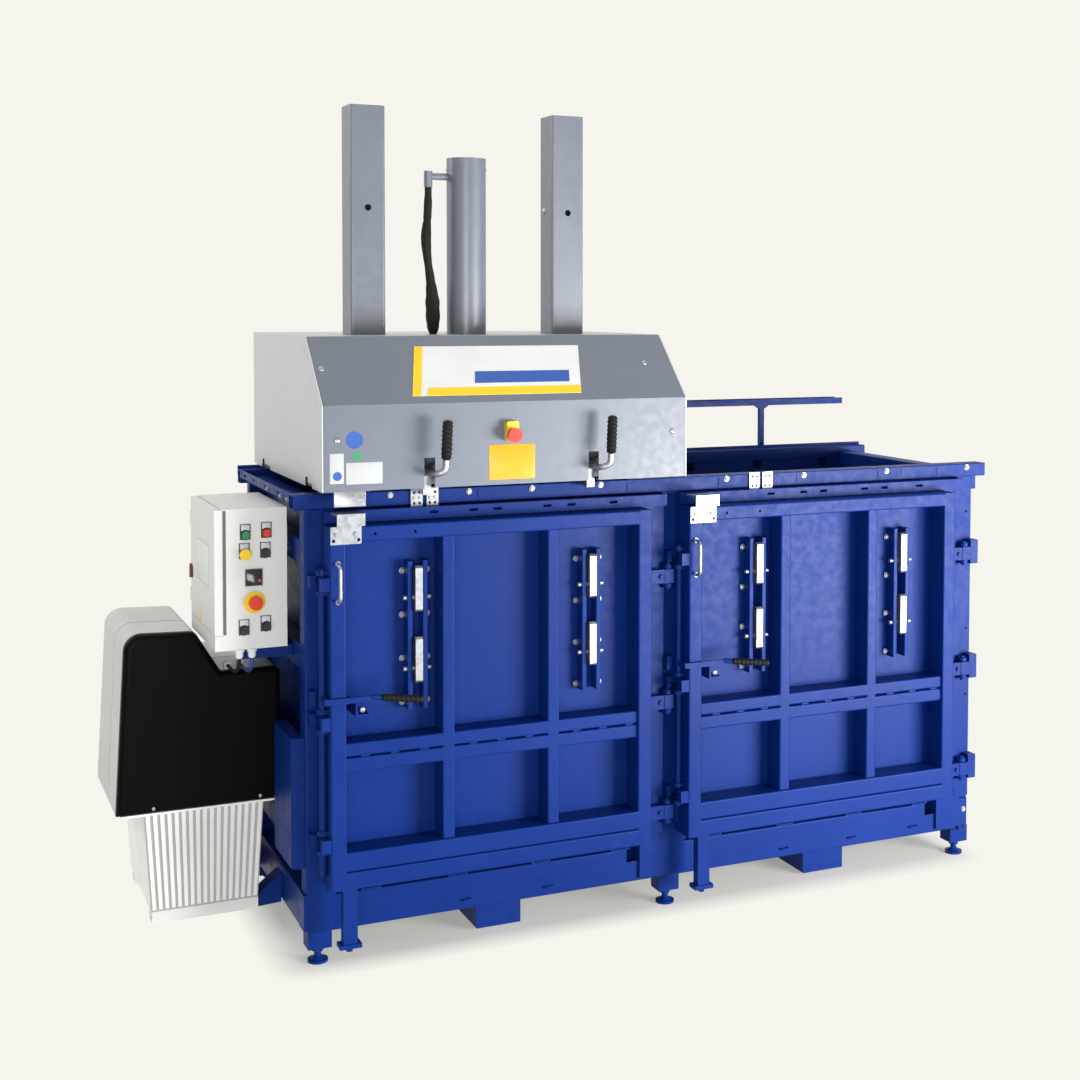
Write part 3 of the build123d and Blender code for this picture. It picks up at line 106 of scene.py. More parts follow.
class Graph:
    """One material's node tree."""

    def __init__(self, name: str) -> None:
        """Makes the material and clears its nodes.

        Args:
            name: name of the material.
        """
        self.material = bpy.data.materials.new(name)
        self.material.use_nodes = True
        self.tree = self.material.node_tree
        self.tree.nodes.clear()

    def node(self, kind: str, settings: dict[str, Any], inputs: dict[Any, Any], output: Any = 0) -> Socket:
        """Adds a node, its settings first, then its inputs.

        Args:
            kind: Blender's node type.
            settings: attributes of the node, or "ramp" with (position, colour) stops.
            inputs: value, colour or Socket for each input name or number.
            output: name or number of the output to return.

        Returns:
            The chosen output.
        """
        made = self.tree.nodes.new(kind)
        for key, value in settings.items():
            if key == "ramp":
                elements = made.color_ramp.elements
                while len(elements) < len(value):
                    elements.new(0.5)
                for element, (position, colour) in zip(elements, value):
                    element.position = position
                    element.color = (*colour, 1.0)
            else:
                setattr(made, key, value)
        for key, value in inputs.items():
            if isinstance(value, Socket):
                if isinstance(value.source, (int, float)):
                    made.inputs[key].default_value = value.source
                else:
                    self.tree.links.new(value.source, made.inputs[key])
            elif isinstance(value, tuple) and made.inputs[key].type == "RGBA":
                made.inputs[key].default_value = (*value, 1.0)
            else:
                made.inputs[key].default_value = value
        return Socket(self, made.outputs[output])

    def place(self, stretch: Point = (1.0, 1.0, 1.0)) -> Socket:
        """Object coordinates, stretched along each axis."""
        coordinates = self.node("ShaderNodeTexCoord", {}, {}, "Object")
        return self.node("ShaderNodeMapping", {}, {"Vector": coordinates, "Scale": stretch})

    def noise(self, scale: float, detail: float = 3.0, stretch: Point = (1.0, 1.0, 1.0)) -> Socket:
        """Fractal noise in metres of Object coordinates."""
        inputs = {"Vector": self.place(stretch), "Scale": scale, "Detail": detail}
        return self.node("ShaderNodeTexNoise", {}, inputs, "Fac")

    def blend(self, share: Any, first: Any, second: Any) -> Socket:
        """Colour between first and second."""
        settings = {"data_type": "RGBA", "clamp_factor": True}
        return self.node("ShaderNodeMix", settings, {0: share, 6: first, 7: second}, 2)

    def ramp(self, value: Socket, low: float, high: float) -> Socket:
        """Value mapped from low to high onto 0 to 1."""
        settings = {"clamp": True}
        return self.node("ShaderNodeMapRange", settings, {"Value": value, "From Min": low, "From Max": high})

    def vector(self, operation: str, *values: Any, output: Any = 0) -> Socket:
        """Adds one Vector Math node."""
        return self.node("ShaderNodeVectorMath", {"operation": operation}, dict(enumerate(values)), output)

    def bump(self, height: Socket, strength: float, distance: float) -> Socket:
        """Normal bent by a height."""
        inputs = {"Height": height, "Strength": strength, "Distance": distance}
        return self.node("ShaderNodeBump", {}, inputs)

    def finish(self, **inputs: Any) -> bpy.types.Material:
        """Joins a Principled shader with the given inputs to the output.

        Args:
            **inputs: socket names with underscores for spaces.

        Returns:
            The finished material.
        """
        named = {key.replace("_", " "): value for key, value in inputs.items()}
        shader = self.node("ShaderNodeBsdfPrincipled", {}, named)
        self.node_output(shader)
        return self.material

    def node_output(self, shader: Socket) -> None:
        """Joins a shader to the material output."""
        target = self.tree.nodes.new("ShaderNodeOutputMaterial")
        self.tree.links.new(shader.source, target.inputs["Surface"])


# Finishes


@dataclass(frozen=True)
class Paint:
    """Sprayed paint with orange peel, slight fading and dust."""

    name: str
    colour: Colour
    roughness: float = 0.3
    gloss: float = 0.3
    peel: float = 0.04
    mottle: float = 0.06
    dust: float = 0.1

    def build(self) -> bpy.types.Material:
        """Makes the material."""
        graph = Graph(self.name)
        broad = graph.ramp(graph.noise(2.2, 4.0), 0.3, 0.7)
        fine = graph.ramp(graph.noise(38.0, 2.0), 0.35, 0.65)
        darker = tuple(channel * (1.0 - self.mottle * 2.2) for channel in self.colour)
        paler = tuple(min(1.0, channel * (1.0 + self.mottle) + 0.001) for channel in self.colour)
        body = graph.blend(broad, darker, paler)
        specks = graph.ramp(graph.noise(160.0, 2.0), 0.66, 0.74)
        dusty = graph.blend(specks * (self.dust * 0.5), body, (0.55, 0.54, 0.5))
        rough = fine * (self.roughness * 0.25) + broad * (self.roughness * 0.2) + self.roughness * 0.75
        normal = graph.bump(graph.noise(420.0, 1.0), self.peel, 0.0006)
        return graph.finish(
            Base_Color=dusty, Roughness=rough, Metallic=0.0, Specular_IOR_Level=self.gloss, Normal=normal
        )


@dataclass(frozen=True)
class Metal:
    """Bare or plated metal, spangled or brushed along an axis."""

    name: str
    colour: Colour
    roughness: float = 0.35
    brush: Point = (1.0, 1.0, 1.0)
    spangle: float = 0.0
    metallic: float = 1.0

    def build(self) -> bpy.types.Material:
        """Makes the material."""
        graph = Graph(self.name)
        grain = graph.noise(300.0, 2.0, self.brush)
        cells = graph.node(
            "ShaderNodeTexVoronoi", {}, {"Vector": graph.place(), "Scale": 90.0, "Randomness": 1.0}, "Color"
        )
        flakes = graph.node("ShaderNodeRGBToBW", {}, {"Color": cells})
        darker = tuple(channel * 0.72 for channel in self.colour)
        tone = flakes * self.spangle + grain * (1.0 - self.spangle)
        body = graph.blend(tone.clamp(), darker, self.colour)
        rough = tone * 0.18 + (self.roughness - 0.09)
        normal = graph.bump(grain, 0.05, 0.0004)
        return graph.finish(Base_Color=body, Roughness=rough, Metallic=self.metallic, Normal=normal)


@dataclass(frozen=True)
class Plastic:
    """Moulded plastic or rubber with a fine grain, and painted shade in its grooves if their depths are given.
    """

    name: str
    colour: Colour
    roughness: float = 0.4
    grain: float = 0.12
    gloss: float = 0.4
    grooves: tuple[float, float] | None = None

    def build(self) -> bpy.types.Material:
        """Makes the material."""
        graph = Graph(self.name)
        broad = graph.ramp(graph.noise(5.0, 3.0), 0.3, 0.7)
        fine = graph.noise(900.0, 1.0)
        darker = tuple(channel * 0.88 for channel in self.colour)
        body = graph.blend(broad, darker, self.colour)
        # Painted shade: between the rib tops and the groove floor the colour falls to half, standing for shade
        # in the rib grooves.
        if self.grooves:
            rib_top, groove_floor = self.grooves
            depth = graph.node("ShaderNodeSeparateXYZ", {}, {"Vector": graph.place()}, "Y")
            groove_shade = graph.ramp(depth, rib_top, groove_floor)
            behind = graph.ramp(depth, groove_floor + 2 * MM, groove_floor + 6 * MM)
            body = graph.blend(groove_shade * (1.0 - behind), body, tuple(channel * 0.5 for channel in self.colour))
        rough = fine * 0.12 + (self.roughness - 0.04)
        normal = graph.bump(fine, self.grain, 0.0003)
        return graph.finish(
            Base_Color=body, Roughness=rough, Metallic=0.0, Specular_IOR_Level=self.gloss, Normal=normal
        )


FINISHES: dict[str, Any] = {
    "blue": Paint(
        "ultramarine_paint", (0.0012, 0.02, 0.155), 0.42, gloss=0.11, peel=0.05, mottle=0.06, dust=0.04
    ),
    "cover_grey": Paint("cover_grey_paint", (0.13, 0.148, 0.187), 0.4, gloss=0.45, peel=0.05, mottle=0.03),
    "post_grey": Paint("post_grey_paint", (0.13, 0.148, 0.185), 0.38, gloss=0.8, peel=0.04, mottle=0.03),
    # Painted light: the same grey as the cover, made much paler to stand for the strong light from the left on
    # the head's side faces.
    "lit_side_grey": Paint("side_grey_paint", (0.5, 0.505, 0.53), 0.4, gloss=0.5, peel=0.04, mottle=0.02),
    "inner_grey": Paint("inner_grey_paint", (0.12, 0.13, 0.15), 0.5, mottle=0.06),
    "cabinet": Paint("cabinet_powder_coat", (0.68, 0.68, 0.67), 0.5, peel=0.12, mottle=0.015),
    "gasket": Plastic("grey_gasket", (0.13, 0.13, 0.13), 0.6, 0.1),
    "zinc": Metal("zinc_plate", (0.36, 0.37, 0.39), 0.4, spangle=0.7, metallic=0.85),
    "steel": Metal("turned_steel", (0.72, 0.72, 0.74), 0.28, brush=(1.0, 1.0, 8.0)),
    "rod": Metal("chromed_rod", (0.86, 0.87, 0.88), 0.14, brush=(6.0, 6.0, 1.0)),
    "black": Plastic("black_plastic", (0.012, 0.012, 0.013), 0.42, 0.3),
    "hood": Plastic("black_hood", (0.003, 0.003, 0.003), 0.38, 0.25, gloss=0.04),
    "shell": Plastic("silver_shell", (0.5, 0.505, 0.5), 0.34, 0.1, gloss=0.6),
    # The tank's grooves get painted shade: their colour is darkened to half.
    "tank": Plastic("white_tank", (0.9, 0.9, 0.89), 0.42, 0.2, grooves=(0.2505, 0.2555)),
    "rubber": Plastic("black_rubber", (0.006, 0.006, 0.006), 0.6, 0.4, gloss=0.2),
    "sleeve": Plastic("woven_hose_sleeve", (0.012, 0.012, 0.010), 0.8, 0.9, gloss=0.2),
    "red": Plastic("red_cap", (0.66, 0.035, 0.015), 0.3, 0.05),
    "dark_red": Plastic("dark_red_switch", (0.16, 0.018, 0.014), 0.4, 0.1),
    "green": Plastic("green_cap", (0.012, 0.24, 0.09), 0.3, 0.05),
    "yellow": Plastic("yellow_cap", (0.88, 0.56, 0.012), 0.36, 0.05),
    "amber": Plastic("amber_plate", (0.7, 0.37, 0.02), 0.36, 0.04),
    "holder": Plastic("dark_label_holder", (0.035, 0.04, 0.045), 0.4, 0.1),
    "legend": Plastic("silver_legend", (0.55, 0.57, 0.60), 0.35, 0.05),
    "white": Plastic("white_plate", (0.72, 0.73, 0.74), 0.35, 0.03),
    "paper": Plastic("pale_paper_label", (0.52, 0.53, 0.55), 0.55, 0.05),
    "disc_blue": Plastic("blue_disc", (0.02, 0.085, 0.36), 0.4, 0.03),
    "disc_green": Plastic("green_disc", (0.03, 0.25, 0.1), 0.4, 0.03),
    "blue_cable": Plastic("blue_cable", (0.02, 0.06, 0.3), 0.5, 0.1),
    "glass": Plastic("dark_glass", (0.01, 0.01, 0.012), 0.12, 0.02),
}
_made: dict[str, bpy.types.Material] = {}


def finish_named(name: str) -> bpy.types.Material:
    """Material of a named finish, built once."""
    if name not in _made:
        _made[name] = FINISHES[name].build()
    return _made[name]


NODE_FINISHES: dict[str, str] = {
    "seat_plates": "zinc",
    "door_brackets_left": "zinc",
    "door_brackets_right": "zinc",
    "cabinet_box": "cabinet",
    "cabinet_door": "cabinet",
    "main_switch": "dark_red",
    "black_button_left": "black",
    "black_button_right": "black",
    "selector": "black",
    "green_button": "green",
    "red_button": "red",
    "cabinet_estop": "red",
    "head_estop": "red",
    "yellow_button": "yellow",
    "head_estop_box": "yellow",
    "control_faces": "holder",
    "control_cables": "rubber",
    "power_pack_hood": "hood",
    "power_pack_shell": "shell",
    "oil_tank": "tank",
    "pump_motor": "inner_grey",
    "head_cover": "cover_grey",
    "guide_posts": "post_grey",
    "press_cylinder": "post_grey",
    # The head housing's paler grey is painted light on its side faces.
    "head_housing": "lit_side_grey",
    "carriage_frame": "inner_grey",
    "piston_rod": "rod",
    "ram_hose": "rubber",
    "head_lever_left": "zinc",
    "head_lever_right": "zinc",
    "lever_grip_left": "rubber",
    "lever_grip_right": "rubber",
    "lock_grip_left": "rubber",
    "lock_grip_right": "rubber",
}


def dress_frame() -> None:
    """Gives every CAD node its finish; claws are zinc plated and all else is blue."""
    for name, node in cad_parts.items():
        chosen = NODE_FINISHES.get(name, "zinc" if name.startswith("claw_") else "blue")
        node.data.materials.clear()
        node.data.materials.append(finish_named(chosen))
    log.info("dressed %d CAD nodes", len(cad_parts))


# Mesh helpers: each surface is a function of two parameters, worked out as whole arrays


def grid_faces(rows: int, columns: int, wrap: bool) -> np.ndarray:
    """Quads of a grid of rows by columns, closed along the columns if wrap is set."""
    row = np.arange(rows - 1)[:, None] * columns
    last = columns if wrap else columns - 1
    column = np.arange(last)[None, :]
    following = (column + 1) % columns
    quads = np.stack([row + column, row + following, row + columns + following, row + columns + column], -1)
    return quads.reshape(-1, 4)


@dataclass
class Shape:
    """Vertices and faces of a piece that is still being joined together."""

    points: np.ndarray
    faces: list[Any]

    def joined(self, others: Sequence["Shape"]) -> "Shape":
        """This shape with the others added to it."""
        points, faces, start = [self.points], list(self.faces), len(self.points)
        for other in others:
            points.append(other.points)
            faces += [[index + start for index in face] for face in other.faces]
            start += len(other.points)
        return Shape(np.concatenate(points), faces)


def frame_of(direction: Sequence[float]) -> np.ndarray:
    """Rows are two unit vectors square to the direction, and the direction."""
    way = Vector(direction).normalized()
    side = Vector((0, 0, 1)).cross(way)
    side = Vector((1, 0, 0)) if side.length < 1e-6 else side.normalized()
    return np.array([side, way.cross(side), way])


def revolve(
    profile: Sequence[tuple[float, float]], origin: Point, direction: Sequence[float], sides: int
) -> Shape:
    """Profile of (radius, height) pairs turned round an axis.

    The point at angle a and step k is origin + r[k] (cos a, sin a) + h[k] along the axis.
    """
    rings = np.array(profile, float)
    angle = np.linspace(0, 2 * math.pi, sides, endpoint=False)
    flat = np.stack([np.cos(angle), np.sin(angle)], -1)
    local = np.concatenate(
        [rings[:, None, :1] * flat[None], np.broadcast_to(rings[:, None, 1:], (len(rings), sides, 1))], -1
    )
    points = local.reshape(-1, 3) @ frame_of(direction) + np.array(origin)
    faces = grid_faces(len(rings), sides, True).tolist()
    faces.append(list(range(sides))[::-1])
    faces.append([(len(rings) - 1) * sides + index for index in range(sides)])
    return Shape(points, faces)


def tube(path: np.ndarray, radius: Any, sides: int = 16) -> Shape:
    """Round section carried along a path; radius is one number or one for each point.

    Each ring lies square to the path's local direction, found by central differences.
    """
    ways = np.gradient(path, axis=0)
    ways /= np.linalg.norm(ways, axis=1)[:, None]
    guide = np.array([0.0, 0.0, 1.0]) if abs(ways[:, 2]).mean() < 0.8 else np.array([1.0, 0.0, 0.0])
    side = np.cross(ways, guide)
    side /= np.linalg.norm(side, axis=1)[:, None]
    other = np.cross(ways, side)
    angle = np.linspace(0, 2 * math.pi, sides, endpoint=False)
    radii = np.broadcast_to(np.asarray(radius, float), (len(path),))[:, None, None]
    ring = np.cos(angle)[None, :, None] * side[:, None] + np.sin(angle)[None, :, None] * other[:, None]
    points = (path[:, None] + radii * ring).reshape(-1, 3)
    faces = grid_faces(len(path), sides, True).tolist()
    faces.append(list(range(sides))[::-1])
    faces.append([(len(path) - 1) * sides + index for index in range(sides)])
    return Shape(points, faces)


def plate(
    centre: Point, size: tuple[float, float], thickness: float, facing: Sequence[float], corner: float
) -> Shape:
    """Flat plate with rounded corners and a small chamfer.

    The outline is a rounded rectangle: four quarter circles of radius corner, carried through the thickness.
    """
    turn = np.linspace(0, math.pi / 2, 5)
    outline = []
    for quarter, (sx, sy) in enumerate(((1, 1), (-1, 1), (-1, -1), (1, -1))):
        middle = np.array([sx * (size[0] / 2 - corner), sy * (size[1] / 2 - corner)])
        angles = turn + quarter * math.pi / 2
        outline.append(middle + corner * np.stack([np.cos(angles), np.sin(angles)], -1))
    flat = np.concatenate(outline)
    chamfer = min(thickness * 0.3, 0.001)
    inner = flat * (1 - chamfer * 2 / np.array(size))
    layers = [(flat, 0.0), (flat, thickness - chamfer), (inner, thickness)]
    local = np.concatenate(
        [np.column_stack([points, np.full(len(points), height)]) for points, height in layers]
    )
    points = local @ frame_of(facing) + np.array(centre)
    count = len(flat)
    faces = grid_faces(len(layers), count, True).tolist()
    faces.append(list(range(count))[::-1])
    faces.append([(len(layers) - 1) * count + index for index in range(count)])
    return Shape(points, faces)


def slab(corners: Sequence[Point], facing: Sequence[float], lift: float, thickness: float) -> Shape:
    """Flat four-cornered slab: its corners are lifted along the facing direction, once for each side."""
    way = np.array(facing)
    foot = np.array(corners) + way * lift
    points = np.concatenate([foot, foot + way * thickness])
    sides = [[index, (index + 1) % 4, (index + 1) % 4 + 4, index + 4] for index in range(4)]
    return Shape(points, [[3, 2, 1, 0], [4, 5, 6, 7], *sides])


def piece(name: str, shape: Shape, finish: str, body: str, smooth: bool = True) -> Any:
    """Makes an object of a shape, gives it its finish and lets it ride on a body.

    Args:
        name: name of the object.
        shape: vertices and faces in the row frame.
        finish: name of the finish.
        body: CAD body that carries the piece.
        smooth: shades faces smooth where they meet at less than 40 degrees.

    Returns:
        The new object.
    """
    mesh = bpy.data.meshes.new(name)
    mesh.from_pydata(shape.points.tolist(), [], [list(face) for face in shape.faces])
    mesh.validate()
    mesh.update()
    made = bpy.data.objects.new(name, mesh)
    bpy.context.scene.collection.objects.link(made)
    made.data.materials.append(finish_named(finish))
    if smooth:
        mesh.shade_smooth()
        mesh.set_sharp_from_angle(angle=math.radians(40))
    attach(made, body)
    log.info("made %s with %d faces", name, len(mesh.polygons))
    return made


def bolt(place: Point, facing: Sequence[float], size: float = 8.0, washer: bool = True) -> Shape:
    """Hexagon head bolt with a washer; size is the thread in mm."""
    head = size * 0.88 * MM
    height = size * 0.64 * MM
    start = 0.0
    parts = []
    if washer:
        start = size * 0.2 * MM
        outer = size * 1.12 * MM
        parts.append(revolve(((outer, 0.0), (outer, start)), place, facing, 20))
    top = start + height
    profile = ((head, start), (head, top - height * 0.15), (head * 0.86, top))
    hexagon = revolve(profile, place, facing, 6)
    return hexagon.joined(parts)


def bolts(
    name: str, places: Sequence[Point], facing: Axis, size: float, body: str, finish: str = "zinc"
) -> Any:
    """One piece that holds a bolt at every place."""
    shapes = [bolt(place, facing.value, size) for place in places]
    return piece(name, shapes[0].joined(shapes[1:]), finish, body)


def screw(place: Point, facing: Sequence[float], radius: float) -> Shape:
    """Low domed screw head: radius falls as a quarter ellipse."""
    angle = np.linspace(0, math.pi / 2, 5)
    profile = [(radius, 0.0)] + [(radius * math.cos(a) + 0.0001, radius * 0.45 * math.sin(a)) for a in angle]
    return revolve(profile, place, facing, 16)


# Sub-assemblies


@dataclass
class HeadTrim:
    """Screws, plates and stickers of the sliding press head."""

    front: float = -0.128
    kink: float = 1.597
    top: float = 1.7835
    crest: float = 0.066
    left: float = -1.111
    sign_z: tuple[float, float] = (1.6165, 1.753)
    sign_foot: tuple[float, float] = (-0.8475, -0.332)
    sign_lean: float = 0.0475
    stripe: float = 0.0255
    sticker: float = 0.0006
    screw_radius: float = 0.009

    def on_slope(self, x: float, z: float) -> Point:
        """Point of the sloped cover at a place across and a height."""
        share = (z - self.kink) / (self.top - self.kink)
        return (x, self.front + share * (self.crest - self.front), z)

    def slope_way(self) -> Point:
        """Outward normal of the sloped part."""
        rise, run = self.top - self.kink, self.crest - self.front
        length = math.hypot(rise, run)
        return (0.0, -rise / length, run / length)

    def sign_part(
        self, name: str, x: tuple[float, float], z: tuple[float, float], finish: str, layer: int
    ) -> None:
        """Leaning slab of the sign.

        Args:
            name: name of the piece.
            x: left and right limits, measured along the foot of the sign.
            z: lowest and highest edge.
            finish: name of the finish.
            layer: number of slabs that lie under this one.
        """
        lean = [(height - self.sign_z[0]) / (self.sign_z[1] - self.sign_z[0]) * self.sign_lean for height in z]
        corners = (
            self.on_slope(x[0] + lean[0], z[0]),
            self.on_slope(x[1] + lean[0], z[0]),
            self.on_slope(x[1] + lean[1], z[1]),
            self.on_slope(x[0] + lean[1], z[1]),
        )
        piece(name, slab(corners, self.slope_way(), layer * self.sticker, self.sticker), finish, "head")

    def sign(self) -> None:
        """Bare sign: white field, yellow stripe and foot band, blue bar."""
        left, right = self.sign_foot
        inner = left + self.stripe
        self.sign_part("sign_field", (left, right), self.sign_z, "white", 0)
        self.sign_part("sign_stripe", (left, inner), self.sign_z, "yellow", 1)
        self.sign_part("sign_foot_band", (-0.803, right), (self.sign_z[0], 1.638), "yellow", 1)
        self.sign_part("sign_bar", (-0.662, -0.367), (1.649, 1.681), "disc_blue", 1)

    def stickers(self) -> None:
        """Bare stickers on the upright part of the cover, and one interlock face plate."""
        way = Axis.FRONT.value
        small = plate((-0.5565, self.front, 1.4225), (0.141, 0.101), 0.0012, way, 0.005)
        piece("small_plate", small, "amber", "head")
        for name, x, z, radius, finish in (
            ("blue_disc", -1.020, 1.500, 0.024, "disc_blue"),
            ("green_disc", -1.013, 1.455, 0.013, "disc_green"),
        ):
            disc = revolve(((radius, 0.0), (radius, self.sticker)), (x, self.front, z), way, 40)
            piece(name, disc, finish, "head")
        for name, x, z, size in (
            ("tall_label", -1.070, 1.422, (0.039, 0.0835)),
            ("wide_label", -0.9925, 1.407, (0.103, 0.060)),
        ):
            piece(name, plate((x, self.front, z), size, self.sticker, way, 0.002), "paper", "head")
        place = (-1.0685, self.front - self.sticker, 1.401)
        dot = revolve(((0.0125, 0.0), (0.0125, self.sticker)), place, way, 32)
        piece("tall_label_disc", dot, "disc_blue", "head")
        hanger = plate((-1.0335, self.front, 1.33625), (0.089, 0.0425), 0.001, way, 0.002)
        piece("interlock_face", hanger, "zinc", "head")

    def fasteners(self) -> None:
        """Cover screws, the wipers beside the rail and the locking screw of a guide post."""
        radius = self.screw_radius
        slope_places = ((-1.087, 1.695), (-0.087, 1.699))
        front_places = ((-1.069, 1.499), (-0.043, 1.495))
        heads = [screw(self.on_slope(x, z), self.slope_way(), radius) for x, z in slope_places]
        heads += [screw((x, self.front, z), Axis.FRONT.value, radius) for x, z in front_places]
        piece("cover_screws", heads[0].joined(heads[1:]), "zinc", "head")
        wipers = [
            plate((self.left, y, 1.372), (0.01, 0.026), 0.004, Axis.LEFT.value, 0.002) for y in (0.049, 0.635)
        ]
        piece("rail_wipers", wipers[0].joined(wipers[1:]), "rubber", "head")
        pin = screw((-0.283, 0.320, 2.174), Axis.LEFT.value, 0.012)
        piece("post_locking_screw", pin, "zinc", "ram")

    def build(self) -> None:
        """Makes the head's trim."""
        self.sign()
        self.stickers()
        self.fasteners()


@dataclass
class Grip:
    """Ribbed rubber grip that stands for a plain CAD one."""

    name: str
    body: str
    start: Point
    end: Point
    radius: float
    ribs: int = 9

    def build(self) -> None:
        """Radius follows a rounded wave along the grip and closes at both ends."""
        steps = self.ribs * 10 + 1
        share = np.linspace(0, 1, steps)
        wave = 0.5 + 0.5 * np.cos(share * self.ribs * 2 * math.pi)
        closing = np.clip(np.minimum(share, 1 - share) * 14, 0, 1) ** 0.5
        radii = self.radius * (0.86 + 0.14 * (1 - wave**3)) * (0.35 + 0.65 * closing)
        start, end = np.array(self.start), np.array(self.end)
        path = start + share[:, None] * (end - start)
        made = piece(self.name + "_ribbed", tube(path, radii, 20), "rubber", self.body)
        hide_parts(self.name)


@dataclass
class RailTrim:
    """Bolts of the top rails, the posts and the base, and the tie hooks of the base beam."""

    front: float = -0.06
    rail_left: float = -1.175
    beam_front: float = -0.05
    hook_half: float = 0.014
    hook_reach: float = 0.011
    hook_wire: float = 0.0028

    def hooks(self) -> None:
        """Staples of round wire: each runs out, across and back along rounded corners."""
        shapes = []
        turn = np.linspace(0, math.pi, 13)
        for x, z in ((-0.672, 0.129), (-0.414, 0.128), (0.400, 0.128), (0.656, 0.129), (0.896, 0.133)):
            across = x + self.hook_half * np.cos(turn)
            out = self.beam_front - self.hook_reach * np.sin(turn) ** 0.5
            shapes.append(tube(np.stack([across, out, np.full(13, z)], -1), self.hook_wire, 10))
        piece("tie_hooks", shapes[0].joined(shapes[1:]), "blue", "frame")

    def build(self) -> None:
        """Makes the bolts and hooks."""
        xs = (-0.9, -0.665, -0.47, -0.249, 0.18, 0.459, 0.773, 1.093)
        bolts("rail_bolts", [(x, self.front, 1.334) for x in xs], Axis.FRONT, 8, "frame")
        skirt = [(self.rail_left, y, z) for y, z in ((0.274, 1.3285), (0.096, 1.3265), (0.008, 1.3265))]
        bolts("skirt_bolts", skirt, Axis.LEFT, 7, "frame")
        seats = [
            (m + x, self.front - 0.006, 1.323) for m in (-0.8, 0.3) for x in (-0.031, -0.015, 0.015, 0.031)
        ]
        bolts("seat_bolts", seats, Axis.FRONT, 4, "frame")
        gusset = [(STATIONS[0] + x, -0.066, z) for x in (0.0, 0.044) for z in (1.262, 1.29)]
        bolts("post_head_bolts", gusset, Axis.FRONT, 7, "frame", "blue")
        posts = [(1.0931, self.front, 1.185), (1.0985, self.front, 0.787), (1.0985, self.front, 0.562)]
        plugs = [screw(place, Axis.FRONT.value, 0.0055) for place in posts]
        plugs.append(screw((1.0955, self.front, 0.108), Axis.FRONT.value, 0.006))
        piece("post_plugs", plugs[0].joined(plugs[1:]), "rubber", "frame")
        bolts("base_bolt", [(1.0948, self.front, 0.168)], Axis.FRONT, 8, "frame")
        self.hooks()


@dataclass
class DoorTrim:
    """Bolts and catch knob of one door."""

    side: str
    station: float
    claw_places: tuple[float, float] = (0.28, 0.815)
    tab_levels: tuple[float, ...] = (1.12, 0.994, 0.869, 0.743)
    hinge_levels: tuple[float, ...] = (1.05, 0.663, 0.322)

    def build(self) -> None:
        """Makes the door's small parts."""
        body = f"door_{self.side}"
        feet = [
            (self.station + place + reach, -0.081, z)
            for place in self.claw_places
            for reach in (-0.037, 0.037)
            for z in self.tab_levels
        ]
        bolts(f"claw_bolts_{self.side}", feet, Axis.FRONT, 8, body)
        bracket = [(self.station + x, -0.168, 1.245) for x in (0.034, 0.088)]
        bolts(f"bracket_bolts_{self.side}", bracket, Axis.FRONT, 6, body)
        arms = [(self.station + PITCH - 0.051, -0.106, z) for z in self.hinge_levels]
        bolts(f"hinge_bolts_{self.side}", arms, Axis.FRONT, 8, body, "blue")
        knob = screw((self.station + 0.107, -0.16, 0.752), Axis.FRONT.value, 0.008)
        piece(f"catch_knob_{self.side}", knob, "zinc", body)


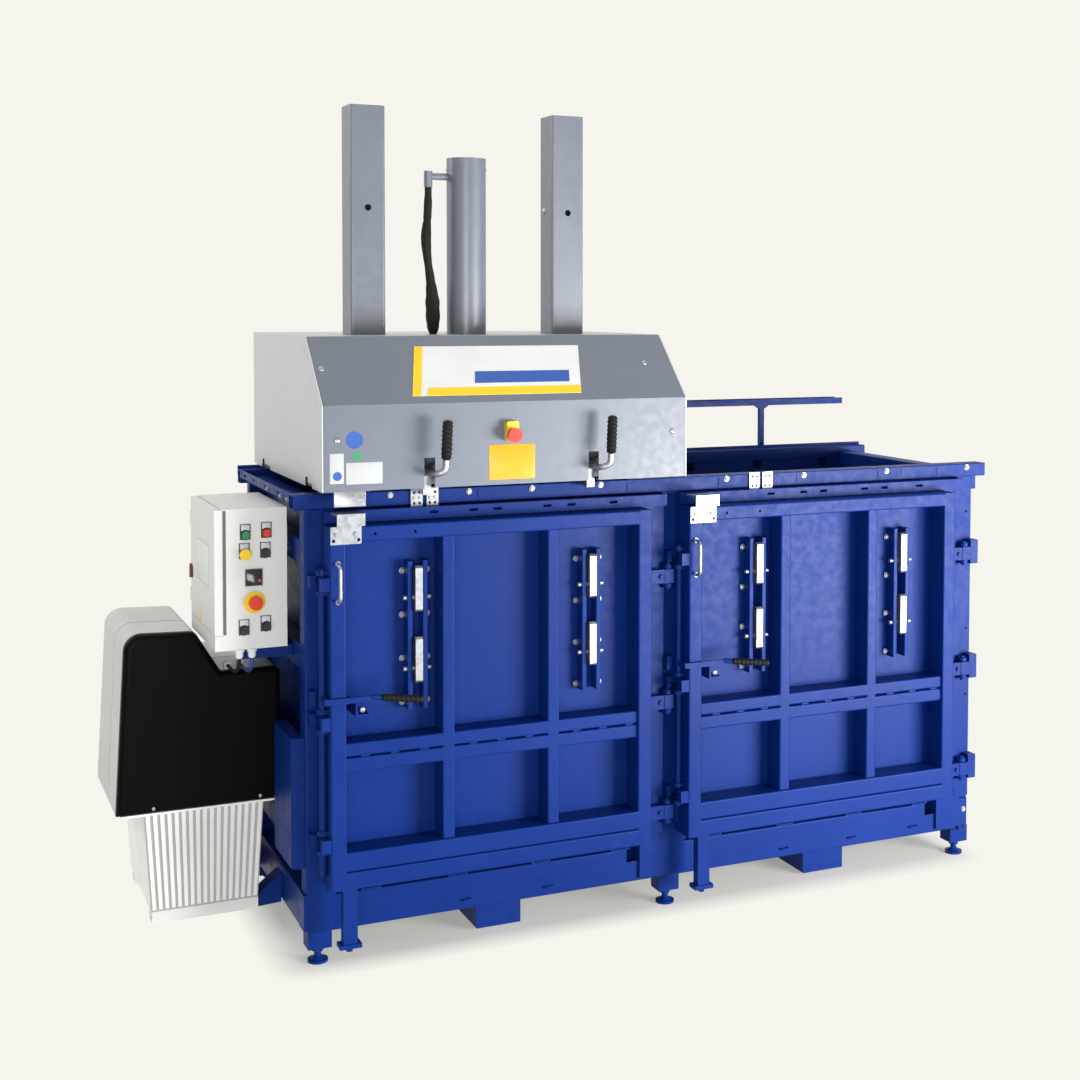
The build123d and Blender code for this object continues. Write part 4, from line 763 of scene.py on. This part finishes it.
@dataclass
class CabinetTrim:
    """Legends, emergency stop disc, display glass, labels and glands of the control cabinet."""

    face: float = 0.08
    door_face: float = -1.366
    legend_rise: float = 0.0205
    legend_size: tuple[float, float] = (0.024, 0.017)

    def legends(self) -> None:
        """Silver legends in the dark label holders, left bare."""
        places = (
            (-1.28, 1.224), (-1.221, 1.227), (-1.283, 1.17),
            (-1.224, 1.17), (-1.285, 0.953), (-1.224, 0.96),
        )
        face = self.face - 0.0015
        shapes = [
            plate((x, face, z + self.legend_rise), self.legend_size, 0.0008, Axis.FRONT.value, 0.001)
            for x, z in places
        ]
        piece("control_legends", shapes[0].joined(shapes[1:]), "legend", "frame")

    def front_parts(self) -> None:
        """Disc of the emergency stop, the display and the gasket line of the door."""
        profile = ((0.0121, 0.0), (0.0305, 0.0), (0.0305, 0.0015), (0.0121, 0.0022))
        disc = revolve(profile, (-1.256, self.face - 0.004, 1.031), Axis.FRONT.value, 40)
        piece("stop_disc", disc, "yellow", "frame")
        glass = plate((-1.257, self.face - 0.005, 1.102), (0.042, 0.042), 0.001, Axis.FRONT.value, 0.003)
        piece("display_glass", glass, "glass", "frame")
        dot = screw((-1.241, self.face - 0.006, 1.0925), Axis.FRONT.value, 0.005)
        piece("display_dot", dot, "red", "frame")
        gasket = plate((-1.3385, self.face, 1.119), (0.009, 0.352), 0.0005, Axis.FRONT.value, 0.001)
        piece("door_gasket", gasket, "gasket", "frame")

    def door_parts(self) -> None:
        """Bare labels on the left face of the cabinet door and the strip below it."""
        way = Axis.LEFT.value
        label = plate((self.door_face, 0.262, 1.1265), (0.190, 0.122), 0.0004, way, 0.002)
        piece("door_label", label, "paper", "cabinet_door")
        field = plate((self.door_face - 0.0004, 0.262, 1.1265), (0.182, 0.114), 0.0003, way, 0.002)
        piece("door_label_field", field, "white", "cabinet_door")
        mark = plate((self.door_face, 0.313, 0.962), (0.024, 0.030), 0.0004, way, 0.003)
        piece("door_mark", mark, "yellow", "cabinet_door")
        low = plate((-1.344, 0.158, 0.918), (0.026, 0.030), 0.0004, way, 0.003)
        piece("strip_mark", low, "yellow", "frame")

    def glands(self) -> None:
        """Pale cable glands below the cabinet, turned about their cables."""
        profile = (
            (0.015, 0.0), (0.015, 0.007), (0.0115, 0.009),
            (0.0115, 0.02), (0.0075, 0.026), (0.0055, 0.026),
        )
        shapes = [revolve(profile, (x, 0.088, 0.898), Axis.DOWN.value, 16) for x in (-1.298, -1.262)]
        piece("cable_glands", shapes[0].joined(shapes[1:]), "white", "frame")

    def build(self) -> None:
        """Makes the cabinet's trim."""
        self.legends()
        self.front_parts()
        self.door_parts()
        self.glands()


@dataclass
class PackTrim:
    """Screws of the power pack hood."""

    def build(self) -> None:
        """Makes the hood's screws."""
        heads = [screw((x, 0.235, 0.427), Axis.FRONT.value, 0.0065) for x in (-1.515, -1.211)]
        piece("hood_screws", heads[0].joined(heads[1:]), "zinc", "frame")


@dataclass
class Cord:
    """Hose or cable on one smooth curve whose control points are the route's points."""

    name: str
    node: str
    body: str
    finish: str
    points: tuple[Point, ...]
    radius: float
    length: float
    stiffness: str

    def build(self) -> Any:
        """Makes the curve and lets it stand for its CAD solid.

        Returns:
            The curve's object.
        """
        curve = bpy.data.curves.new(self.name, "CURVE")
        curve.dimensions = "3D"
        spline = curve.splines.new("NURBS")
        spline.points.add(len(self.points) - 1)
        for target, point in zip(spline.points, self.points):
            target.co = (*point, 1.0)
        spline.order_u = 3
        spline.use_endpoint_u = True
        spline.resolution_u = 16
        made = bpy.data.objects.new(self.name, curve)
        bpy.context.scene.collection.objects.link(made)
        made.data.materials.append(finish_named(self.finish))
        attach(made, self.body)
        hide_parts(self.node)
        return made

    def line(self, made: Any) -> np.ndarray:
        """Points along the curve's own line, read while it has no thickness."""
        bpy.context.view_layer.update()
        traced = bpy.data.meshes.new_from_object(made.evaluated_get(bpy.context.evaluated_depsgraph_get()))
        points = np.empty(len(traced.vertices) * 3)
        traced.vertices.foreach_get("co", points)
        bpy.data.meshes.remove(traced)
        return points.reshape(-1, 3)

    def thicken(self, made: Any, with_pieces: Sequence[Any] = ()) -> None:
        made.data.bevel_depth = self.radius
        made.data.bevel_resolution = 4
        made.data.use_fill_caps = True
        2 * self.radius
        log.info("made %s, %.3f m long", self.name, self.length)


@dataclass
class SleevedHose:
    """Ram hose with its loose woven sleeve, tied at two places."""

    cord: Cord
    stations: tuple[float, ...] = (0.06, 0.09, 0.2, 0.215, 0.24, 0.33, 0.5, 0.62, 0.74, 0.86, 0.92, 0.945)
    radii: tuple[float, ...] = (
        *(0.0113, 0.0125, 0.0125, 0.0113, 0.0135, 0.016),
        *(0.0118, 0.0145, 0.0215, 0.021, 0.0165, 0.0118),
    )
    folds: int = 5
    sides: int = 40

    def build(self) -> None:
        """Makes the hose and the sleeve round it.

        The sleeve's radius at share s and angle a is R(s) (1 + 0.05 cos(folds a + 9 s) + 0.03 sin(70 s)),
        where R runs smoothly through the radii at the stations.
        """
        made = self.cord.build()
        line = self.cord.line(made)
        steps = np.concatenate([[0.0], np.cumsum(np.linalg.norm(np.diff(line, axis=0), axis=1))])
        share = np.linspace(self.stations[0], self.stations[-1], 120)
        path = np.stack([np.interp(share * steps[-1], steps, line[:, axis]) for axis in range(3)], -1)
        radius = np.interp(share, self.stations, self.radii)
        shape = tube(path, radius, self.sides)
        angle = np.linspace(0, 2 * math.pi, self.sides, endpoint=False)
        wave = 0.05 * np.cos(self.folds * angle[None] + 9 * share[:, None]) + 0.03 * np.sin(70 * share[:, None])
        ring = shape.points.reshape(len(share), self.sides, 3)
        slack = np.clip((radius - 0.0118) / 0.004, 0, 1)[:, None]
        shape.points = (path[:, None] + (ring - path[:, None]) * (1 + wave * slack)[..., None]).reshape(-1, 3)
        sleeve = piece("ram_hose_sleeve", shape, "sleeve", self.cord.body)
        self.cord.thicken(made, [sleeve])


def build_cords() -> None:
    """Ram hose with its sleeve, and the two control cables."""
    hose = (
        (-0.672, 0.304, 2.236),
        (-0.672, 0.304, 2.170),
        (-0.682, 0.304, 2.060),
        (-0.657, 0.304, 1.900),
        (-0.657, 0.304, 1.760),
    )
    SleevedHose(Cord("ram_hose_line", "ram_hose", "head", "rubber", hose, 0.011, 0.478, "medium")).build()
    for number, (x, finish) in enumerate(((-1.298, "rubber"), (-1.262, "blue_cable")), start=1):
        route = (
            (x, 0.088, 0.886),
            (x, 0.088, 0.846),
            (x, 0.130, 0.822),
            (x, 0.200, 0.816),
            (x, 0.262, 0.816),
        )
        cable = Cord(f"control_cable_{number}", "control_cables", "frame", finish, route, 0.005, 0.216, "limp")
        cable.thicken(cable.build())


# Stage, light and camera


@dataclass(frozen=True)
class Camera:
    """The photograph's camera, fitted to the machine's straight edges."""

    place: Point = (-2.1818, -4.5413, 1.8832)
    azimuth: float = 25.39
    down: float = 2.54
    roll: float = 0.0037
    focal_pixels: float = 1624.38
    principal: tuple[float, float] = (659.07, 374.81)
    frame_pixels: float = 1080.0

    def build(self) -> None:
        """Makes the camera and points the scene at it."""
        az, el = math.radians(self.azimuth), math.radians(self.down)
        forward = Vector((math.sin(az) * math.cos(el), math.cos(az) * math.cos(el), -math.sin(el)))
        right = Vector((math.cos(az), -math.sin(az), 0.0))
        up = right.cross(forward)
        turned = right * math.cos(self.roll) + up * math.sin(self.roll)
        upright = up * math.cos(self.roll) - right * math.sin(self.roll)
        data = bpy.data.cameras.new("photo_camera")
        data.sensor_width = 36.0
        data.lens = data.sensor_width * self.focal_pixels / self.frame_pixels
        half = self.frame_pixels / 2
        data.shift_x = (half - self.principal[0]) / self.frame_pixels
        data.shift_y = (self.principal[1] - half) / self.frame_pixels
        data.clip_end = 100.0
        made = bpy.data.objects.new("photo_camera", data)
        bpy.context.scene.collection.objects.link(made)
        rows = Matrix((turned, upright, -forward)).transposed().to_4x4()
        made.matrix_world = Matrix.Translation(self.place) @ rows
        bpy.context.scene.camera = made


@dataclass(frozen=True)
class Lamp:
    """Rectangular soft lamp aimed at a point."""

    name: str
    place: Point
    aim: Point
    size: tuple[float, float]
    power: float

    def build(self) -> None:
        """Makes the lamp."""
        data = bpy.data.lights.new(self.name, "AREA")
        data.shape = "RECTANGLE"
        data.size, data.size_y = self.size
        data.energy = self.power
        made = bpy.data.objects.new(self.name, data)
        bpy.context.scene.collection.objects.link(made)
        made.location = self.place
        made.rotation_mode = "QUATERNION"
        made.rotation_quaternion = (Vector(self.aim) - Vector(self.place)).to_track_quat("-Z", "Y")


@dataclass(frozen=True)
class Studio:
    """Pale floor that keeps the shadow below the machine, pale surroundings and soft lamps."""

    pale: Colour = (0.913, 0.913, 0.847)
    base_middle: Point = (-0.03, 0.345, 0.0)
    base_half: Point = (1.10, 0.36, 1.0)
    fade: float = 0.12
    near_share: float = 0.3
    world_strength: float = 0.4
    lamps: tuple[Lamp, ...] = (
        Lamp("right_softbox", (2.25, -3.1, 0.74), (0.6, 0.0, 0.7), (2.0, 1.42), 290.0),
        Lamp("left_softbox", (-4.6, 2.6, 4.0), (-1.1, 0.3, 2.0), (2.4, 2.4), 120.0),
        Lamp("overhead", (-0.3, 1.6, 5.0), (-0.2, 0.4, 0.9), (4.0, 2.4), 60.0),
        Lamp("front_fill", (-2.6, -5.0, 1.2), (-1.1, 0.1, 0.7), (1.8, 1.8), 140.0),
    )

    def floor(self) -> None:
        """Wide floor: it shows the shadow close to the base and the plain pale colour further out.

        The share of pale glow grows with the distance from the base's rectangle, the length of
        max(|p - middle| - half, 0), in the floor's own coordinates.
        """
        mesh = bpy.data.meshes.new("floor")
        reach = 60.0
        corners = [(-reach, -reach, 0), (reach, -reach, 0), (reach, reach, 0), (-reach, reach, 0)]
        mesh.from_pydata(corners, [], [[0, 1, 2, 3]])
        made = bpy.data.objects.new("floor", mesh)
        bpy.context.scene.collection.objects.link(made)
        graph = Graph("pale_floor")
        moved = graph.vector("SUBTRACT", graph.place(), self.base_middle)
        beyond = graph.vector("SUBTRACT", graph.vector("ABSOLUTE", moved), self.base_half)
        outside = graph.vector("MAXIMUM", beyond, (0.0, 0.0, 0.0))
        distance = graph.vector("LENGTH", outside, output="Value")
        share = graph.ramp(distance, 0.0, self.fade) * (1.0 - self.near_share) + self.near_share
        path = graph.node("ShaderNodeLightPath", {}, {}, "Is Camera Ray")
        glossy = graph.node("ShaderNodeLightPath", {}, {}, "Is Glossy Ray")
        matt = graph.node("ShaderNodeBsdfDiffuse", {}, {"Color": (0.8, 0.8, 0.77)})
        glow = graph.node("ShaderNodeEmission", {}, {"Color": self.pale, "Strength": 1.0})
        seen = (path + glossy).clamp() * share
        graph.node_output(graph.node("ShaderNodeMixShader", {}, {0: seen, 1: matt, 2: glow}))
        made.data.materials.append(graph.material)

    def world(self) -> None:
        """Even pale surroundings, full strength where they are seen or reflected."""
        world = bpy.data.worlds.new("studio")
        bpy.context.scene.world = world
        world.use_nodes = True
        nodes, links = world.node_tree.nodes, world.node_tree.links
        nodes.clear()
        path = nodes.new("ShaderNodeLightPath")
        seen = path.outputs["Is Camera Ray"]
        for name in ("Is Glossy Ray", "Is Transmission Ray"):
            either = nodes.new("ShaderNodeMath")
            either.operation = "MAXIMUM"
            links.new(seen, either.inputs[0])
            links.new(path.outputs[name], either.inputs[1])
            seen = either.outputs[0]
        strength = nodes.new("ShaderNodeMapRange")
        strength.inputs["To Min"].default_value = self.world_strength
        strength.inputs["To Max"].default_value = 1.0
        links.new(seen, strength.inputs["Value"])
        glow = nodes.new("ShaderNodeBackground")
        glow.inputs["Color"].default_value = (*self.pale, 1.0)
        links.new(strength.outputs[0], glow.inputs["Strength"])
        target = nodes.new("ShaderNodeOutputWorld")
        links.new(glow.outputs[0], target.inputs["Surface"])

    def build(self) -> None:
        """Makes floor, world and lamps."""
        self.floor()
        self.world()
        for lamp in self.lamps:
            lamp.build()


def build_grips() -> None:
    """Ribbed grips on the carriage levers and the lock levers."""
    for side, place in zip(SIDES, (-0.804, -0.3)):
        start = (place + 0.029, -0.1898, 1.44)
        end = (start[0] + 0.0053, start[1] + 0.0013, 1.553)
        Grip(f"lever_grip_{side}", f"head_lever_{side}", start, end, 0.015).build()
    for side, station in zip(SIDES, BAYS):
        start = (station + 0.156, -0.177, 0.786)
        end = (station + 0.267, -0.215, 0.778)
        Grip(f"lock_grip_{side}", f"lock_{side}", start, end, 0.0105).build()


def main() -> None:
    """Builds the machine's looks, the stage and the camera in order."""
    logging.basicConfig(level=logging.INFO, format="%(message)s")
    bpy.context.scene.view_settings.view_transform = "Standard"
    dress_frame()
    Camera().build()
    build_cords()
    HeadTrim().build()
    RailTrim().build()
    for side, station in zip(SIDES, BAYS):
        DoorTrim(side, station).build()
    CabinetTrim().build()
    PackTrim().build()
    build_grips()
    Studio().build()


if __name__ == "__main__":
    main()
